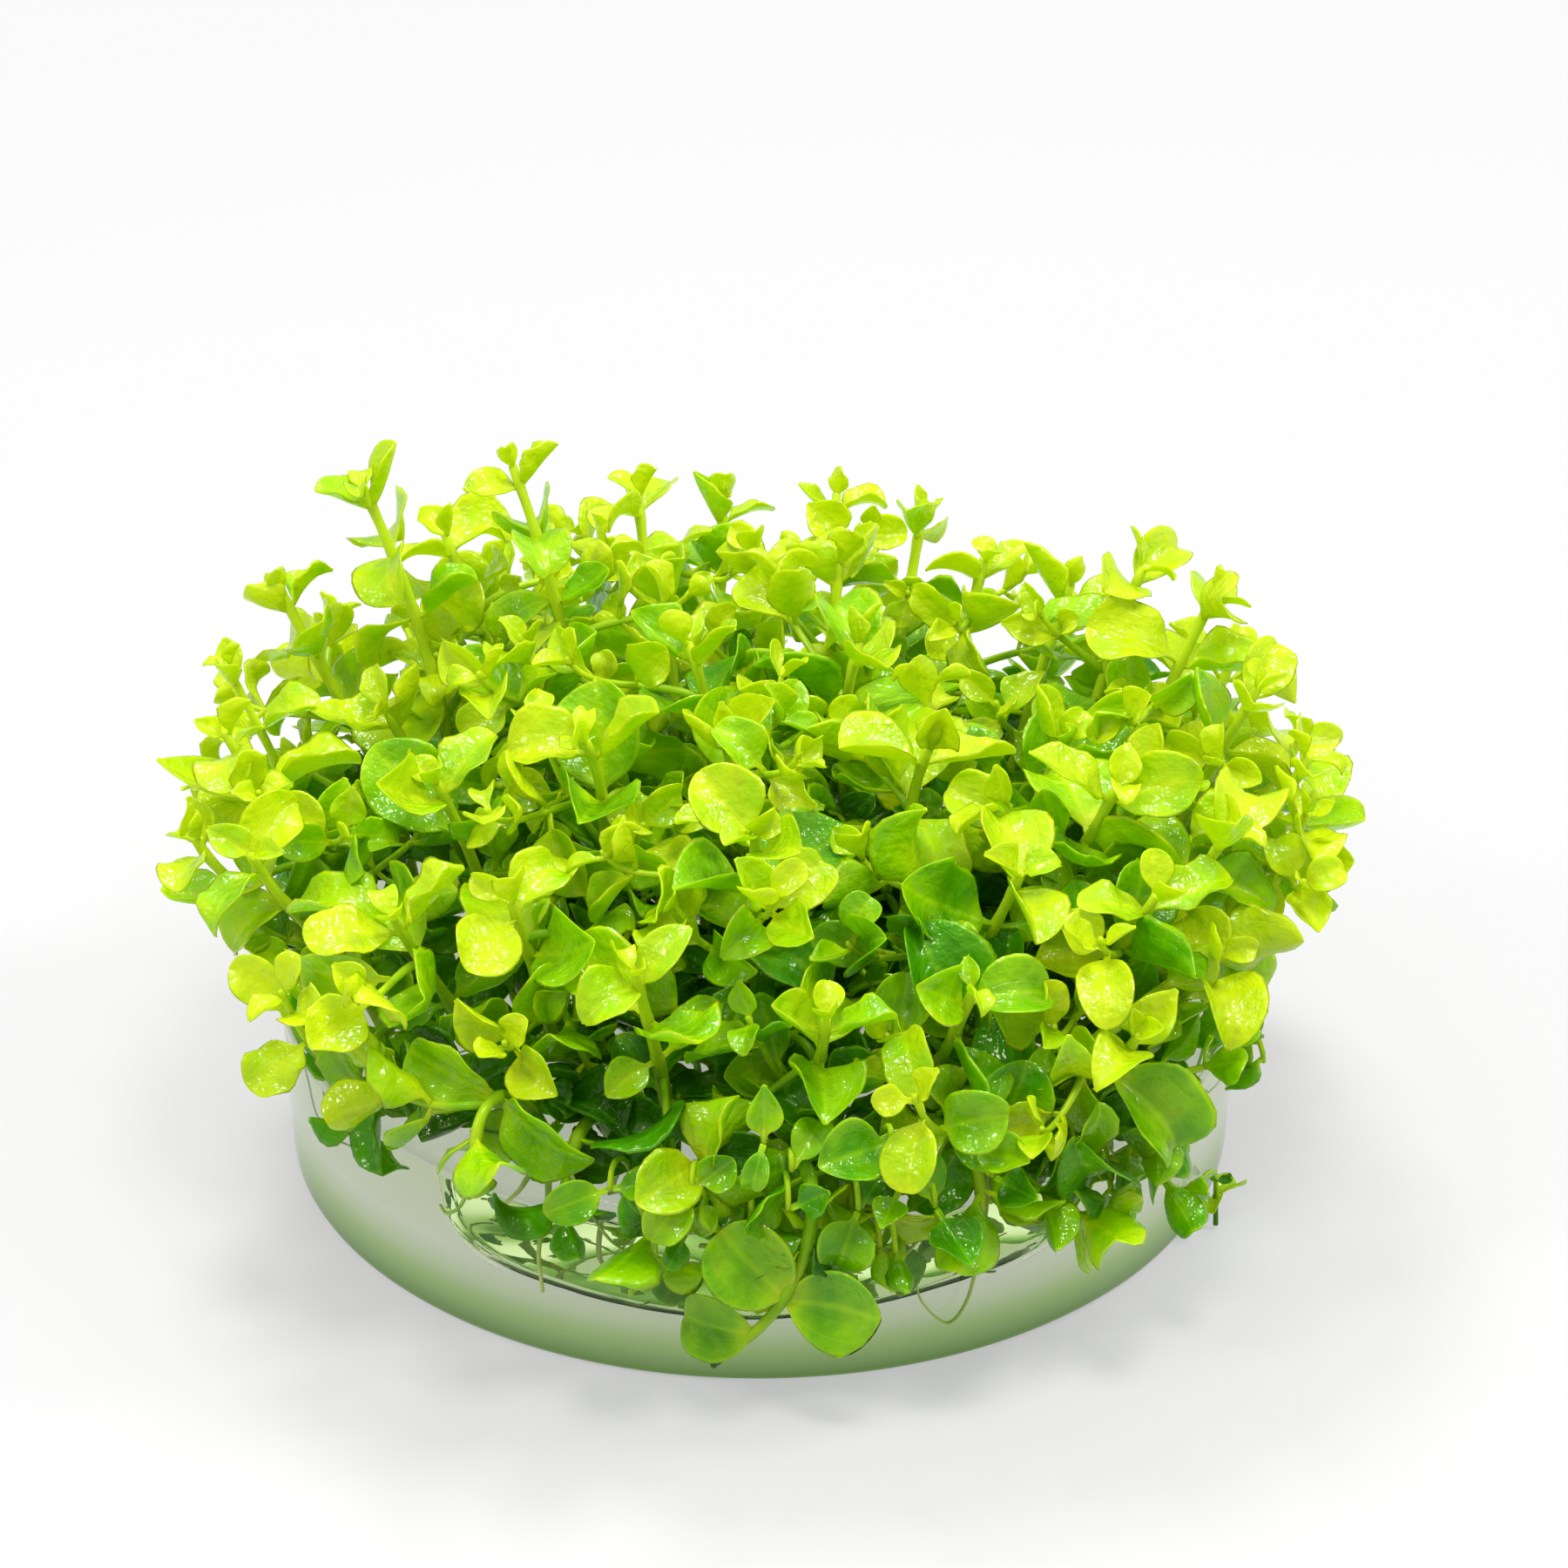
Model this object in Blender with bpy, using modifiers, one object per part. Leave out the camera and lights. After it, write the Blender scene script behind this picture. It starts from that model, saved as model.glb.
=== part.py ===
# Pearlweed: a cushion of leafy sprigs growing on a disc of clear gel.
# Metres, +Z up. The origin is the middle of the gel's underside, and -Y is the front.

import math
import random

import bmesh
import bpy
from mathutils import Matrix, Vector
from mathutils.bvhtree import BVHTree

MM = 0.001
UP = Vector((0.0, 0.0, 1.0))

# The gel disc
GEL_RADIUS = 30.0 * MM
GEL_HEIGHT = 11.0 * MM
GEL_DRAFT = 0.3 * MM
GEL_RIM_RISE = 0.6 * MM
GEL_RIM_WIDTH = 2.4 * MM
GEL_FOOT_ROUND = 0.8 * MM
GEL_STEPS = 40
PROFILE_STEPS = 3

# The cushion: its upper surface is a dome, and a ring of sprigs hangs over the gel's rim
CUSHION_RADIUS = 37.0 * MM
CUSHION_TOP = 33.0 * MM
SHOULDER_DROP = 9.0 * MM
TIP_REACH = 0.95
TIP_DEPTH = 4.0 * MM
TALL = 33.0 * MM
DOME_SPRIGS = 14
DOME_TRIES = 80
HANGING_SPRIGS = 9
HANGING_RADIUS = 32.2 * MM
HANGING_NARROW = 3.0 * MM
HANGING_HEIGHT = 15.0 * MM
FRONT_DROP = 3.5 * MM
HANGING_TOP = 16.5 * MM
ARRANGEMENT = 19

# The feet of the stems on the gel
FOOT_REACH = 26.5 * MM
FOOT_PULL = 0.74
FOOT_GAP = 0.3 * MM

# Stems
STEM_RADIUS = 0.50 * MM
TIP_RADIUS = 0.30 * MM
STEM_POINTS = 5
SWAY = 0.10
RISE = 0.40
LEAN_AT_TIP = 0.45

# Leaves stand in pairs. The gaps lead down from the tip, and each pair is turned from the one above.
# The opening is the angle between a leaf and the way to the tip, and grows by its step from pair to pair.
LEAF_LENGTH = 6.6 * MM
LEAF_BREADTH = 0.86
LEAF_THICKNESS = 0.50 * MM
LEAF_SEGMENTS = 6
LEAF_ROOT = 0.15 * MM
LEAF_FOOT = 1.0 * MM
WIDEST = 2.38
NODE_GAPS = (1.4 * MM, 3.4 * MM, 4.4 * MM)
NODE_SIZES = (0.78, 1.05, 0.95)
USUAL = {"more_turn": 90.0, "opening": 58.0, "opening_step": 12.0, "roll": 0.0, "bare": ()}
CURLS = (-45.0, -30.0, 25.0, 40.0)
CUPS = (0.25, 0.50)
SHRINKS = (1.0, 0.85, 0.7)
TURNS = (0.0, 18.0, -18.0, 36.0, -36.0)
CLEARANCE = 0.15 * MM

# Colours and roughness
LIME = (0.50, 0.72, 0.02)
GREEN = (0.16, 0.42, 0.02)
LEAF_ROUGHNESS = 0.3
GEL_COLOUR = (0.78, 0.84, 0.78)
GEL_ROUGHNESS = 0.05

# Sprigs placed by hand: the tip in mm, the turn of the top pair from left and right, and the leaf scale
PLACED = {
    "sprig_tall_left": ((-24.4, 8.0, 40.8), 0, 0.85),
    "sprig_tall_left_inner": ((-15.3, 11.0, 40.8), 5, 0.72),
    "sprig_back_left": ((-20.0, 17.0, 33.0), 40, 0.95),
    "sprig_back_left_upright": ((-8.0, 28.0, 30.2), 60, 0.95),
    "sprig_back_curled": ((-2.5, 29.5, 28.8), 20, 0.80),
    "sprig_back_stalk": ((5.0, 29.0, 29.8), 15, 0.70),
    "sprig_back_round": ((10.5, 27.0, 29.0), 70, 0.80),
    "sprig_back_right": ((14.5, 22.0, 28.6), 30, 0.90),
    "sprig_right_round": ((19.8, 15.5, 30.2), 0, 0.95),
    "sprig_right_pointed": ((24.0, 10.0, 34.2), 60, 0.95),
    "sprig_right_paired": ((28.0, 5.0, 34.6), 85, 0.90),
    "sprig_right_drooping": ((30.5, -1.0, 31.6), 75, 0.95),
    "sprig_right_edge": ((33.6, -4.0, 28.5), 80, 0.90),
    "sprig_right_low": ((33.2, -9.0, 27.4), 100, 0.90),
    "sprig_right_tall_leaf": ((21.5, -12.0, 31.0), 0, 1.25),
    "sprig_right_broad": ((28.0, -14.0, 29.0), 65, 1.20),
    "sprig_right_front_round": ((23.5, -19.0, 27.5), 20, 1.15),
    "sprig_right_front_broad": ((15.5, -19.0, 29.0), 100, 1.10),
    "sprig_left_curly": ((-30.0, 11.0, 32.0), 30, 0.80),
    "sprig_left_small": ((-33.0, 4.0, 30.5), 85, 0.65),
    "sprig_left_long_leaf": ((-32.6, -2.0, 28.9), 90, 1.00),
    "sprig_left_edge": ((-34.3, -7.5, 24.8), 75, 0.85),
    "sprig_left_pointed": ((-30.5, -12.0, 26.2), 60, 1.10),
    "sprig_left_rounded": ((-14.5, 5.0, 31.5), 70, 1.00),
    "sprig_left_folded": ((-19.5, -8.0, 29.0), 45, 1.10),
    "sprig_left_front_large": ((-21.5, -19.0, 26.0), 20, 1.15),
    "sprig_left_front_pair": ((-14.5, -20.5, 28.0), 60, 1.00),
    "sprig_middle_lime": ((10.3, -8.0, 31.3), 15, 1.15),
    "sprig_middle_starry": ((-2.0, -6.0, 31.2), 0, 0.90),
    "sprig_front_middle": ((4.0, -28.0, 24.5), 0, 0.95),
    "sprig_front_right": ((12.5, -26.5, 25.5), 10, 0.95),
    "sprig_front_left": ((-7.0, -27.0, 27.0), 40, 1.00),
    "sprig_left_front_low": ((-16.5, -29.0, 15.5), 70, 1.00),
}

# Sprigs with routes of their own, as four handles in mm, and how their leaves differ. One hangs down the
# front of the gel with its pairs twisted to face the front, one runs along the rim at the right, and one
# that broke off leans on the wall of the gel.
ROUTED = {
    "sprig_front_draped": (
        ((1.0, -26.0, 11.3), (3.0, -31.5, 22.0), (5.6, -34.6, 11.5), (-1.2, -32.0, 4.4)),
        {"turn": 0, "more_turn": 0, "scale": 0.9, "opening": 62, "opening_step": 55, "roll": -105, "bare": (0,)},
    ),
    "sprig_right_rim": (
        ((14.0, -22.5, 11.3), (15.5, -27.0, 20.0), (23.5, -22.5, 22.5), (29.4, -12.5, 21.4)),
        {"turn": 75, "scale": 0.85},
    ),
    "sprig_stray_right": (
        ((28.3, -12.9, 0.25), (28.3, -12.7, 1.3), (28.25, -12.5, 2.4), (28.2, -12.3, 3.4)),
        {"turn": 45, "scale": 0.42},
    ),
}


def route_points(handles, count):
    """Points on the Bezier curve of four handles."""
    a, b, c, d = handles
    points = []
    for i in range(count):
        t = i / (count - 1)
        u = 1.0 - t
        points.append(a * u**3 + b * (3 * u * u * t) + c * (3 * u * t * t) + d * t**3)
    return points


def along(points, distance):
    """The place and the direction at this distance back from the end of a line of points."""
    for before, after in zip(points[-2::-1], points[:0:-1]):
        step = (after - before).length
        if distance <= step or before is points[0]:
            break
        distance -= step
    direction = (after - before).normalized()
    return after - direction * distance, direction


def line_length(points):
    return sum((b - a).length for a, b in zip(points, points[1:]))


def at_angle(radius, angle, height):
    return Vector((radius * math.cos(angle), radius * math.sin(angle), height))


def gel_top(radius):
    """How high the gel's top is at this radius: flat, with a rim that rises to the wall."""
    inside = GEL_RADIUS - GEL_RIM_WIDTH
    rise = max(0.0, (radius - inside) / GEL_RIM_WIDTH)
    return GEL_HEIGHT - GEL_RIM_RISE + GEL_RIM_RISE * rise**2


def dome_height(radius):
    """The height of the cushion's upper surface at this radius."""
    return CUSHION_TOP - SHOULDER_DROP * (radius / CUSHION_RADIUS) ** 3


def dome_point(rng):
    """A random place on the cushion's upper surface, or a little below it."""
    radius = CUSHION_RADIUS * TIP_REACH * math.sqrt(rng.random())
    angle = rng.uniform(0.0, 2 * math.pi)
    return at_angle(radius, angle, dome_height(radius) - rng.uniform(0.0, TIP_DEPTH))


def farthest(places, tips):
    """The place that is farthest from the tips there are, which spreads the sprigs evenly."""
    return max(places, key=lambda place: min((place - tip).length for tip in tips))


def upright_route(foot, tip, outward, sway):
    """Handles of a stem that rises from its foot and leans out at its tip."""
    reach = (tip - foot).length
    ending = (outward * LEAN_AT_TIP + UP).normalized()
    rising = foot + (UP * RISE + outward * SWAY + sway) * reach
    return foot, rising, tip - ending * 0.35 * reach, tip


def hanging_route(foot, tip, outward, sway):
    """Handles of a stem that arches over the gel's rim and hangs."""
    over = foot + UP * 7.5 * MM + outward * 2.5 * MM
    above = tip + (UP * 5.0 - outward * 0.5) * MM + sway * 5.0 * MM
    return foot, over, above, tip


def sprig_route(tip, rng):
    """Handles from a foot on the gel, nearer the middle than the tip is, to this tip."""
    outward = Vector((tip.x, tip.y, 0.0)).normalized()
    foot_radius = min(tip.xy.length * FOOT_PULL, FOOT_REACH)
    foot = outward * foot_radius + UP * (gel_top(foot_radius) + FOOT_GAP)
    sway = Vector((rng.uniform(-SWAY, SWAY), rng.uniform(-SWAY, SWAY), 0.0))
    bend = hanging_route if tip.z < HANGING_TOP else upright_route
    return bend(foot, tip, outward, sway)


def filler_tips(tips, rng):
    """The tips that fill the cushion: a ring of hanging ones, then ones spread over the dome."""
    made = []
    for i in range(HANGING_SPRIGS):
        angle = 2 * math.pi * (i + rng.uniform(0.15, 0.45)) / HANGING_SPRIGS
        radius = HANGING_RADIUS - HANGING_NARROW * abs(math.cos(angle)) + rng.uniform(-0.6, 0.6) * MM
        height = HANGING_HEIGHT + FRONT_DROP * math.sin(angle) + rng.uniform(-2.0, 2.0) * MM
        made.append(at_angle(radius, angle, height))
    for _ in range(DOME_SPRIGS):
        made.append(farthest([dome_point(rng) for _ in range(DOME_TRIES)], tips + made))
    return made


def node_distance(rank):
    """How far below the tip the pair of leaves of this rank stands."""
    return sum(NODE_GAPS[: rank + 1])


def plan(name, handles, turn, scale, **special):
    """A sprig as planned, before its leaves are chosen. A special setting takes the usual one's place."""
    route = route_points(handles, STEM_POINTS)
    most = len(NODE_GAPS) if route[-1].z > TALL else len(NODE_GAPS) - 1
    pairs = sum(1 for rank in range(most) if node_distance(rank) < line_length(route))
    sprig = {"name": name, "route": route, "turn": turn, "scale": scale, "pairs": pairs, "leaves": [], "own": []}
    return {**USUAL, **sprig, **special}


def plans():
    """Every sprig as planned, the hand-placed ones first."""
    made = []
    for name, (handles, leaves) in ROUTED.items():
        made.append(plan(name, [Vector(handle) * MM for handle in handles], **leaves))
    for name, (tip, turn, scale) in PLACED.items():
        made.append(plan(name, sprig_route(Vector(tip) * MM, random.Random(name)), turn, scale))
    rng = random.Random(ARRANGEMENT)
    for i, tip in enumerate(filler_tips([sprig["route"][-1] for sprig in made], rng)):
        handles = sprig_route(tip, rng)
        made.append(plan(f"sprig_{i + 1:02d}", handles, rng.uniform(0, 180), rng.uniform(0.9, 1.15)))
    return made


def outline(t):
    """Half the width of a leaf, as a share of its widest: broad, with an acute tip."""
    return min(1.0, WIDEST * math.sqrt(t) * (1.0 - t) ** 0.8)


def leaf_axes(tangent, turn, opening):
    """Axes of a leaf: along it, across it, and out of its upper face, which looks to the stem's tip.

    With no turn the leaf points to the right as seen from the front."""
    sideways = Vector((1.0, 0.0, 0.0)) - tangent * tangent.x
    if sideways.length < 0.3:
        sideways = Vector((0.0, 1.0, 0.0)) - tangent * tangent.y
    sideways.normalize()
    sideways.rotate(Matrix.Rotation(turn, 3, tangent))
    forward = tangent * math.cos(opening) + sideways * math.sin(opening)
    upper = tangent * math.sin(opening) - sideways * math.cos(opening)
    return forward, upper.cross(forward).normalized(), upper


def rolled(axes, angle):
    """The axes of a leaf that is turned about its own length, as on a twisted stalk."""
    forward, across, upper = axes
    cosine, sine = math.cos(angle), math.sin(angle)
    return forward, across * cosine + upper * sine, upper * cosine - across * sine


def leaf_point(leaf, t, s, lift=0.0):
    """A point of the leaf, t along it from 0 to 1 and s across it from -1 to 1."""
    origin, (forward, across, upper), length, curl, cup = leaf
    bend = curl * t
    ahead = length * math.sin(bend) / curl
    above = length * (1.0 - math.cos(bend)) / curl
    half = 0.5 * LEAF_BREADTH * length * outline(t)
    normal = upper * math.cos(bend) - forward * math.sin(bend)
    spine = origin + forward * ahead + upper * above
    return spine + across * (half * s) + normal * (cup * half * s * s + lift)


def leaf_blade(bm, leaf, swell=0.0):
    """Adds a leaf as a flat six-sided double cone, its rim bent to the leaf's outline."""
    made = bmesh.ops.create_uvsphere(bm, u_segments=LEAF_SEGMENTS, v_segments=2, radius=1.0)
    origin, axes, length, curl, cup = leaf
    grown = (origin, axes, length + 2 * swell, curl, cup)
    for vert in made["verts"]:
        t = max(0.0, (vert.co.y + 1.0) / 2.0) ** 0.7
        s = 0.0 if abs(vert.co.x) < 0.1 else math.copysign(1.0, vert.co.x)
        lift = vert.co.z * (LEAF_THICKNESS / 2 + swell)
        vert.co = leaf_point(grown, min(t, 1.0), s, lift)


def outer_part(leaf):
    """The leaf without its foot, which its own stem and the leaf opposite share."""
    origin, axes, length, curl, cup = leaf
    return origin + axes[0] * LEAF_FOOT, axes, length - LEAF_FOOT, curl, cup


def shape_of(build):
    """A search tree of the mesh that build(bm) makes, and its box."""
    bm = bmesh.new()
    build(bm)
    tree = BVHTree.FromBMesh(bm)
    low = [min(vert.co[i] for vert in bm.verts) for i in range(3)]
    high = [max(vert.co[i] for vert in bm.verts) for i in range(3)]
    bm.free()
    return tree, low, high


def clear_of(shape, others):
    """Whether a shape meets none of the others."""
    tree, low, high = shape
    for other, other_low, other_high in others:
        apart = any(low[i] > other_high[i] or high[i] < other_low[i] for i in range(3))
        if not apart and tree.overlap(other):
            return False
    return True


def stem_radius(share):
    return STEM_RADIUS + (TIP_RADIUS - STEM_RADIUS) * share


def stem_hull(bm, route):
    """Adds a loose four-sided sleeve round a stem, for the tests of clearance."""
    for i, (low, high) in enumerate(zip(route, route[1:])):
        direction = high - low
        middle = (low + high) / 2
        turned = direction.to_track_quat("Z", "Y").to_matrix().to_4x4()
        last = len(route) - 1
        bmesh.ops.create_cone(
            bm,
            cap_ends=True,
            segments=4,
            radius1=stem_radius(i / last) + CLEARANCE,
            radius2=stem_radius((i + 1) / last) + CLEARANCE,
            depth=direction.length,
            matrix=Matrix.Translation(middle) @ turned,
        )


def ground_hull(bm):
    """Adds the gel with its clearance, as a plain drum, and the ground that it stands on."""
    bmesh.ops.create_grid(bm, x_segments=1, y_segments=1, size=2 * CUSHION_RADIUS)
    bmesh.ops.create_cone(
        bm,
        cap_ends=True,
        segments=GEL_STEPS,
        radius1=GEL_RADIUS + CLEARANCE,
        radius2=GEL_RADIUS + CLEARANCE,
        depth=GEL_HEIGHT,
        matrix=Matrix.Translation((0.0, 0.0, GEL_HEIGHT / 2)),
    )


def standing_sprigs():
    """The planned sprigs whose stems stay clear of each other, and the space that they take."""
    taken = []
    sprigs = []
    for sprig in plans():
        shape = shape_of(lambda bm: stem_hull(bm, sprig["route"]))
        if clear_of(shape, [other for _, other in taken]):
            sprig["own"].append(shape)
            taken.append((sprig["name"], shape))
            sprigs.append(sprig)
    return sprigs, taken


def leaf_choices(sprig, rank, side, rng):
    """The leaf of this rank below the tip, then the same leaf turned and shrunk, to try one by one."""
    place, tangent = along(sprig["route"], node_distance(rank))
    turn = sprig["turn"] + sprig["more_turn"] * rank + 180 * side
    opening = math.radians(sprig["opening"] + sprig["opening_step"] * rank + rng.uniform(-10, 10))
    length = LEAF_LENGTH * NODE_SIZES[rank] * sprig["scale"] * rng.uniform(0.9, 1.1)
    curl = math.radians(rng.choice(CURLS))
    cup = rng.uniform(*CUPS)
    roll = math.radians(sprig["roll"]) * (1 - 2 * side)
    tried = []
    for shrink in SHRINKS:
        for more in TURNS:
            axes = rolled(leaf_axes(tangent, math.radians(turn + more), opening), roll)
            root = place - axes[0] * LEAF_ROOT - tangent * (LEAF_ROOT * side)
            tried.append((root, axes, length * shrink, curl, cup))
    return tried


def add_leaf(sprig, choices, taken, ground):
    """Gives the sprig the first of these leaves that has room, if any has."""
    others = [ground] + [other for name, other in taken if name != sprig["name"]]
    for leaf in choices:
        whole = shape_of(lambda bm: leaf_blade(bm, leaf, CLEARANCE))
        outer = shape_of(lambda bm: leaf_blade(bm, outer_part(leaf), CLEARANCE))
        if clear_of(whole, others) and clear_of(outer, sprig["own"]):
            sprig["leaves"].append(leaf)
            sprig["own"].append(outer)
            taken.append((sprig["name"], whole))
            return


def sides_with_leaves(sprig, rank):
    """Both sides of the stem, but for the sides where a sprig has lost a leaf of its top pair."""
    return [side for side in (0, 1) if rank > 0 or side not in sprig["bare"]]


def add_leaves(sprigs, taken):
    """Gives every sprig its pairs of leaves, the top pairs of them all first."""
    ground = shape_of(ground_hull)
    for rank in range(len(NODE_GAPS)):
        for sprig in sprigs:
            rng = random.Random(f"{sprig['name']} {rank}")
            if rank < sprig["pairs"]:
                for side in sides_with_leaves(sprig, rank):
                    add_leaf(sprig, leaf_choices(sprig, rank, side, rng), taken, ground)


def material(name, colour, roughness):
    made = bpy.data.materials.new(name)
    made.use_nodes = True
    shader = made.node_tree.nodes["Principled BSDF"]
    shader.inputs["Base Color"].default_value = (*colour, 1.0)
    shader.inputs["Roughness"].default_value = roughness
    shader.inputs["Metallic"].default_value = 0.0
    return made


def link(collection, name, data):
    made = bpy.data.objects.new(name, data)
    collection.objects.link(made)
    return made


def stem_mesh(sprig, collection):
    """The stem of a sprig as a welded tube, made from a curve with a bevel."""
    curve = bpy.data.curves.new(sprig["name"] + "_stem", "CURVE")
    curve.dimensions = "3D"
    curve.bevel_depth = STEM_RADIUS
    curve.bevel_resolution = 0
    curve.use_fill_caps = True
    spline = curve.splines.new("POLY")
    spline.points.add(STEM_POINTS - 1)
    for i, point in enumerate(spline.points):
        point.co = (*sprig["route"][i], 1.0)
        point.radius = stem_radius(i / (STEM_POINTS - 1)) / STEM_RADIUS
    helper = link(collection, sprig["name"] + "_stem", curve)
    bpy.context.view_layer.update()
    graph = bpy.context.evaluated_depsgraph_get()
    mesh = bpy.data.meshes.new_from_object(helper.evaluated_get(graph))
    bpy.data.objects.remove(helper)
    bm = bmesh.new()
    bm.from_mesh(mesh)
    bmesh.ops.remove_doubles(bm, verts=bm.verts, dist=0.001 * MM)
    bmesh.ops.recalc_face_normals(bm, faces=bm.faces)
    bm.to_mesh(mesh)
    bm.free()
    return mesh


def leaves_mesh(sprig):
    bm = bmesh.new()
    for leaf in sprig["leaves"]:
        leaf_blade(bm, leaf)
    bmesh.ops.recalc_face_normals(bm, faces=bm.faces)
    mesh = bpy.data.meshes.new(sprig["name"] + "_leaves")
    bm.to_mesh(mesh)
    bm.free()
    return mesh


def build_sprig(sprig, parts, helpers):
    """One sprig: its stem with its leaves fused on, the lower the darker."""
    made = link(parts, sprig["name"], stem_mesh(sprig, parts))
    leaves = link(helpers, sprig["name"] + "_leaves", leaves_mesh(sprig))
    leaves.hide_render = True
    leaves.display_type = "WIRE"
    union = made.modifiers.new("leaves", "BOOLEAN")
    union.operation = "UNION"
    union.solver = "EXACT"
    union.use_self = True
    union.object = leaves
    share = min(1.0, sprig["route"][-1].z / CUSHION_TOP)
    colour = [dark + (light - dark) * share for dark, light in zip(GREEN, LIME)]
    made.data.materials.append(material(sprig["name"], colour, LEAF_ROUGHNESS))


def gel_profile():
    """Radius and height down the gel's outside: the top, the rim, the rounded foot, the underside."""
    profile = [(0.0, gel_top(0.0))]
    for i in range(PROFILE_STEPS + 1):
        radius = GEL_RADIUS - GEL_RIM_WIDTH * (1 - i / PROFILE_STEPS)
        profile.append((radius, gel_top(radius)))
    for i in range(PROFILE_STEPS + 1):
        angle = math.pi / 2 * i / PROFILE_STEPS
        radius = GEL_RADIUS - GEL_DRAFT - GEL_FOOT_ROUND * (1 - math.cos(angle))
        profile.append((radius, GEL_FOOT_ROUND * (1 - math.sin(angle))))
    profile.append((0.0, 0.0))
    return profile


def build_gel(parts):
    """The gel disc, turned from its profile."""
    points = [(radius, 0.0, height) for radius, height in gel_profile()]
    edges = [(i, i + 1) for i in range(len(points) - 1)]
    mesh = bpy.data.meshes.new("gel_puck")
    mesh.from_pydata(points, edges, [])
    made = link(parts, "gel_puck", mesh)
    turn = made.modifiers.new("turn", "SCREW")
    turn.steps = GEL_STEPS
    turn.render_steps = GEL_STEPS
    turn.use_merge_vertices = True
    turn.merge_threshold = 0.01 * MM
    turn.use_smooth_shade = True
    mesh.materials.append(material("gel_puck", GEL_COLOUR, GEL_ROUGHNESS))


def main():
    for old in list(bpy.data.objects):
        bpy.data.objects.remove(old)
    parts = bpy.data.collections.new("pearlweed")
    helpers = bpy.data.collections.new("pearlweed_helpers")
    bpy.context.scene.collection.children.link(parts)
    bpy.context.scene.collection.children.link(helpers)
    sprigs, taken = standing_sprigs()
    add_leaves(sprigs, taken)
    build_gel(parts)
    for sprig in sprigs:
        build_sprig(sprig, parts, helpers)


main()
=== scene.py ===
# Pearlweed on its disc of clear gel: the looks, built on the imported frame.
# Metres, +Z up. The origin is the middle of the gel's underside, and -Y is the front.

import math
import random

import bmesh
import bpy
import numpy as np
from mathutils import Matrix, Vector, noise
from mathutils.bvhtree import BVHTree


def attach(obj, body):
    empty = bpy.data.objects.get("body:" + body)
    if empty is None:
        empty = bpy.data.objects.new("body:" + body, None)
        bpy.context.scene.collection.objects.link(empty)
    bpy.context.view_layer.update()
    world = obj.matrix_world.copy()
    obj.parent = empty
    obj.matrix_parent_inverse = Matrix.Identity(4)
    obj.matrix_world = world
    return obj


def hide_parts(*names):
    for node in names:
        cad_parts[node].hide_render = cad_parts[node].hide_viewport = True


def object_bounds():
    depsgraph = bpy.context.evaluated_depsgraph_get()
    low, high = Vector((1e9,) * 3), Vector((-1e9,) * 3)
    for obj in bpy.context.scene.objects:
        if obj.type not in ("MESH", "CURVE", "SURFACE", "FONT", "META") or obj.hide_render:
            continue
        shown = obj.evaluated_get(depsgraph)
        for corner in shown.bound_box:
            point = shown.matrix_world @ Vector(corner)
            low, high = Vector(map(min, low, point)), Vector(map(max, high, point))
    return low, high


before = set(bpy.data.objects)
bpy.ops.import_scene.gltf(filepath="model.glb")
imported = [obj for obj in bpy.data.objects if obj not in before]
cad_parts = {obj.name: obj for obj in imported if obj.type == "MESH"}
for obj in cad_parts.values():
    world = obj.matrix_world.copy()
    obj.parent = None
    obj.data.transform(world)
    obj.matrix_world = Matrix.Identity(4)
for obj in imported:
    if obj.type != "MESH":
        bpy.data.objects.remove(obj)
CAD_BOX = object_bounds()

MM = 0.001
UP = Vector((0.0, 0.0, 1.0))

# The camera, as the photograph was taken. Its picture is 1800 pixels wide and high.
PICTURE = 1800
FOCAL = 144.0
SENSOR = 36.0
DISTANCE = 400.0 * MM
ELEVATION = 29.5
ORIGIN_PIXEL = (872, 1281)

# The gel disc
GEL_RADIUS = 30.0 * MM
GEL_HEIGHT = 11.0 * MM
GEL_DRAFT = 0.3 * MM
GEL_RIM_RISE = 0.6 * MM
GEL_RIM_WIDTH = 2.4 * MM
GEL_FOOT_ROUND = 0.8 * MM
GEL_STEPS = 40
FINE_STEPS = 180

# The thin pocket of air under the gel
POCKET_RADIUS = 15.4 * MM
POCKET_FORWARD = 4.5 * MM
POCKET_NARROW = 0.9 * MM
POCKET_DEPTH = 0.45 * MM
POCKET_EDGE = 0.12 * MM

# The waves on the gel's top, its wall and the pocket's roof: their height in mm, how many per metre, and
# where their noise starts. Those of the roof grow inwards from its edge.
TOP_WAVES = (0.20, 110.0, 5.0)
WALL_WAVES = (0.10, 90.0, 2.0)
ROOF_WAVES = (0.34, 150.0, 9.0)
ROOF_RISE = 4.0

# The cushion, as the solids have it
CUSHION_RADIUS = 37.0 * MM
CUSHION_TOP = 33.0 * MM
SHOULDER_DROP = 9.0 * MM
TIP_REACH = 0.95
TIP_DEPTH = 4.0 * MM
TALL = 33.0 * MM
DOME_SPRIGS = 14
DOME_TRIES = 80
HANGING_SPRIGS = 9
HANGING_RADIUS = 32.2 * MM
HANGING_NARROW = 3.0 * MM
HANGING_HEIGHT = 15.0 * MM
FRONT_DROP = 3.5 * MM
HANGING_TOP = 16.5 * MM
ARRANGEMENT = 19

# The feet of the stems on the gel
FOOT_REACH = 26.5 * MM
FOOT_PULL = 0.74
FOOT_GAP = 0.3 * MM

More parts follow.
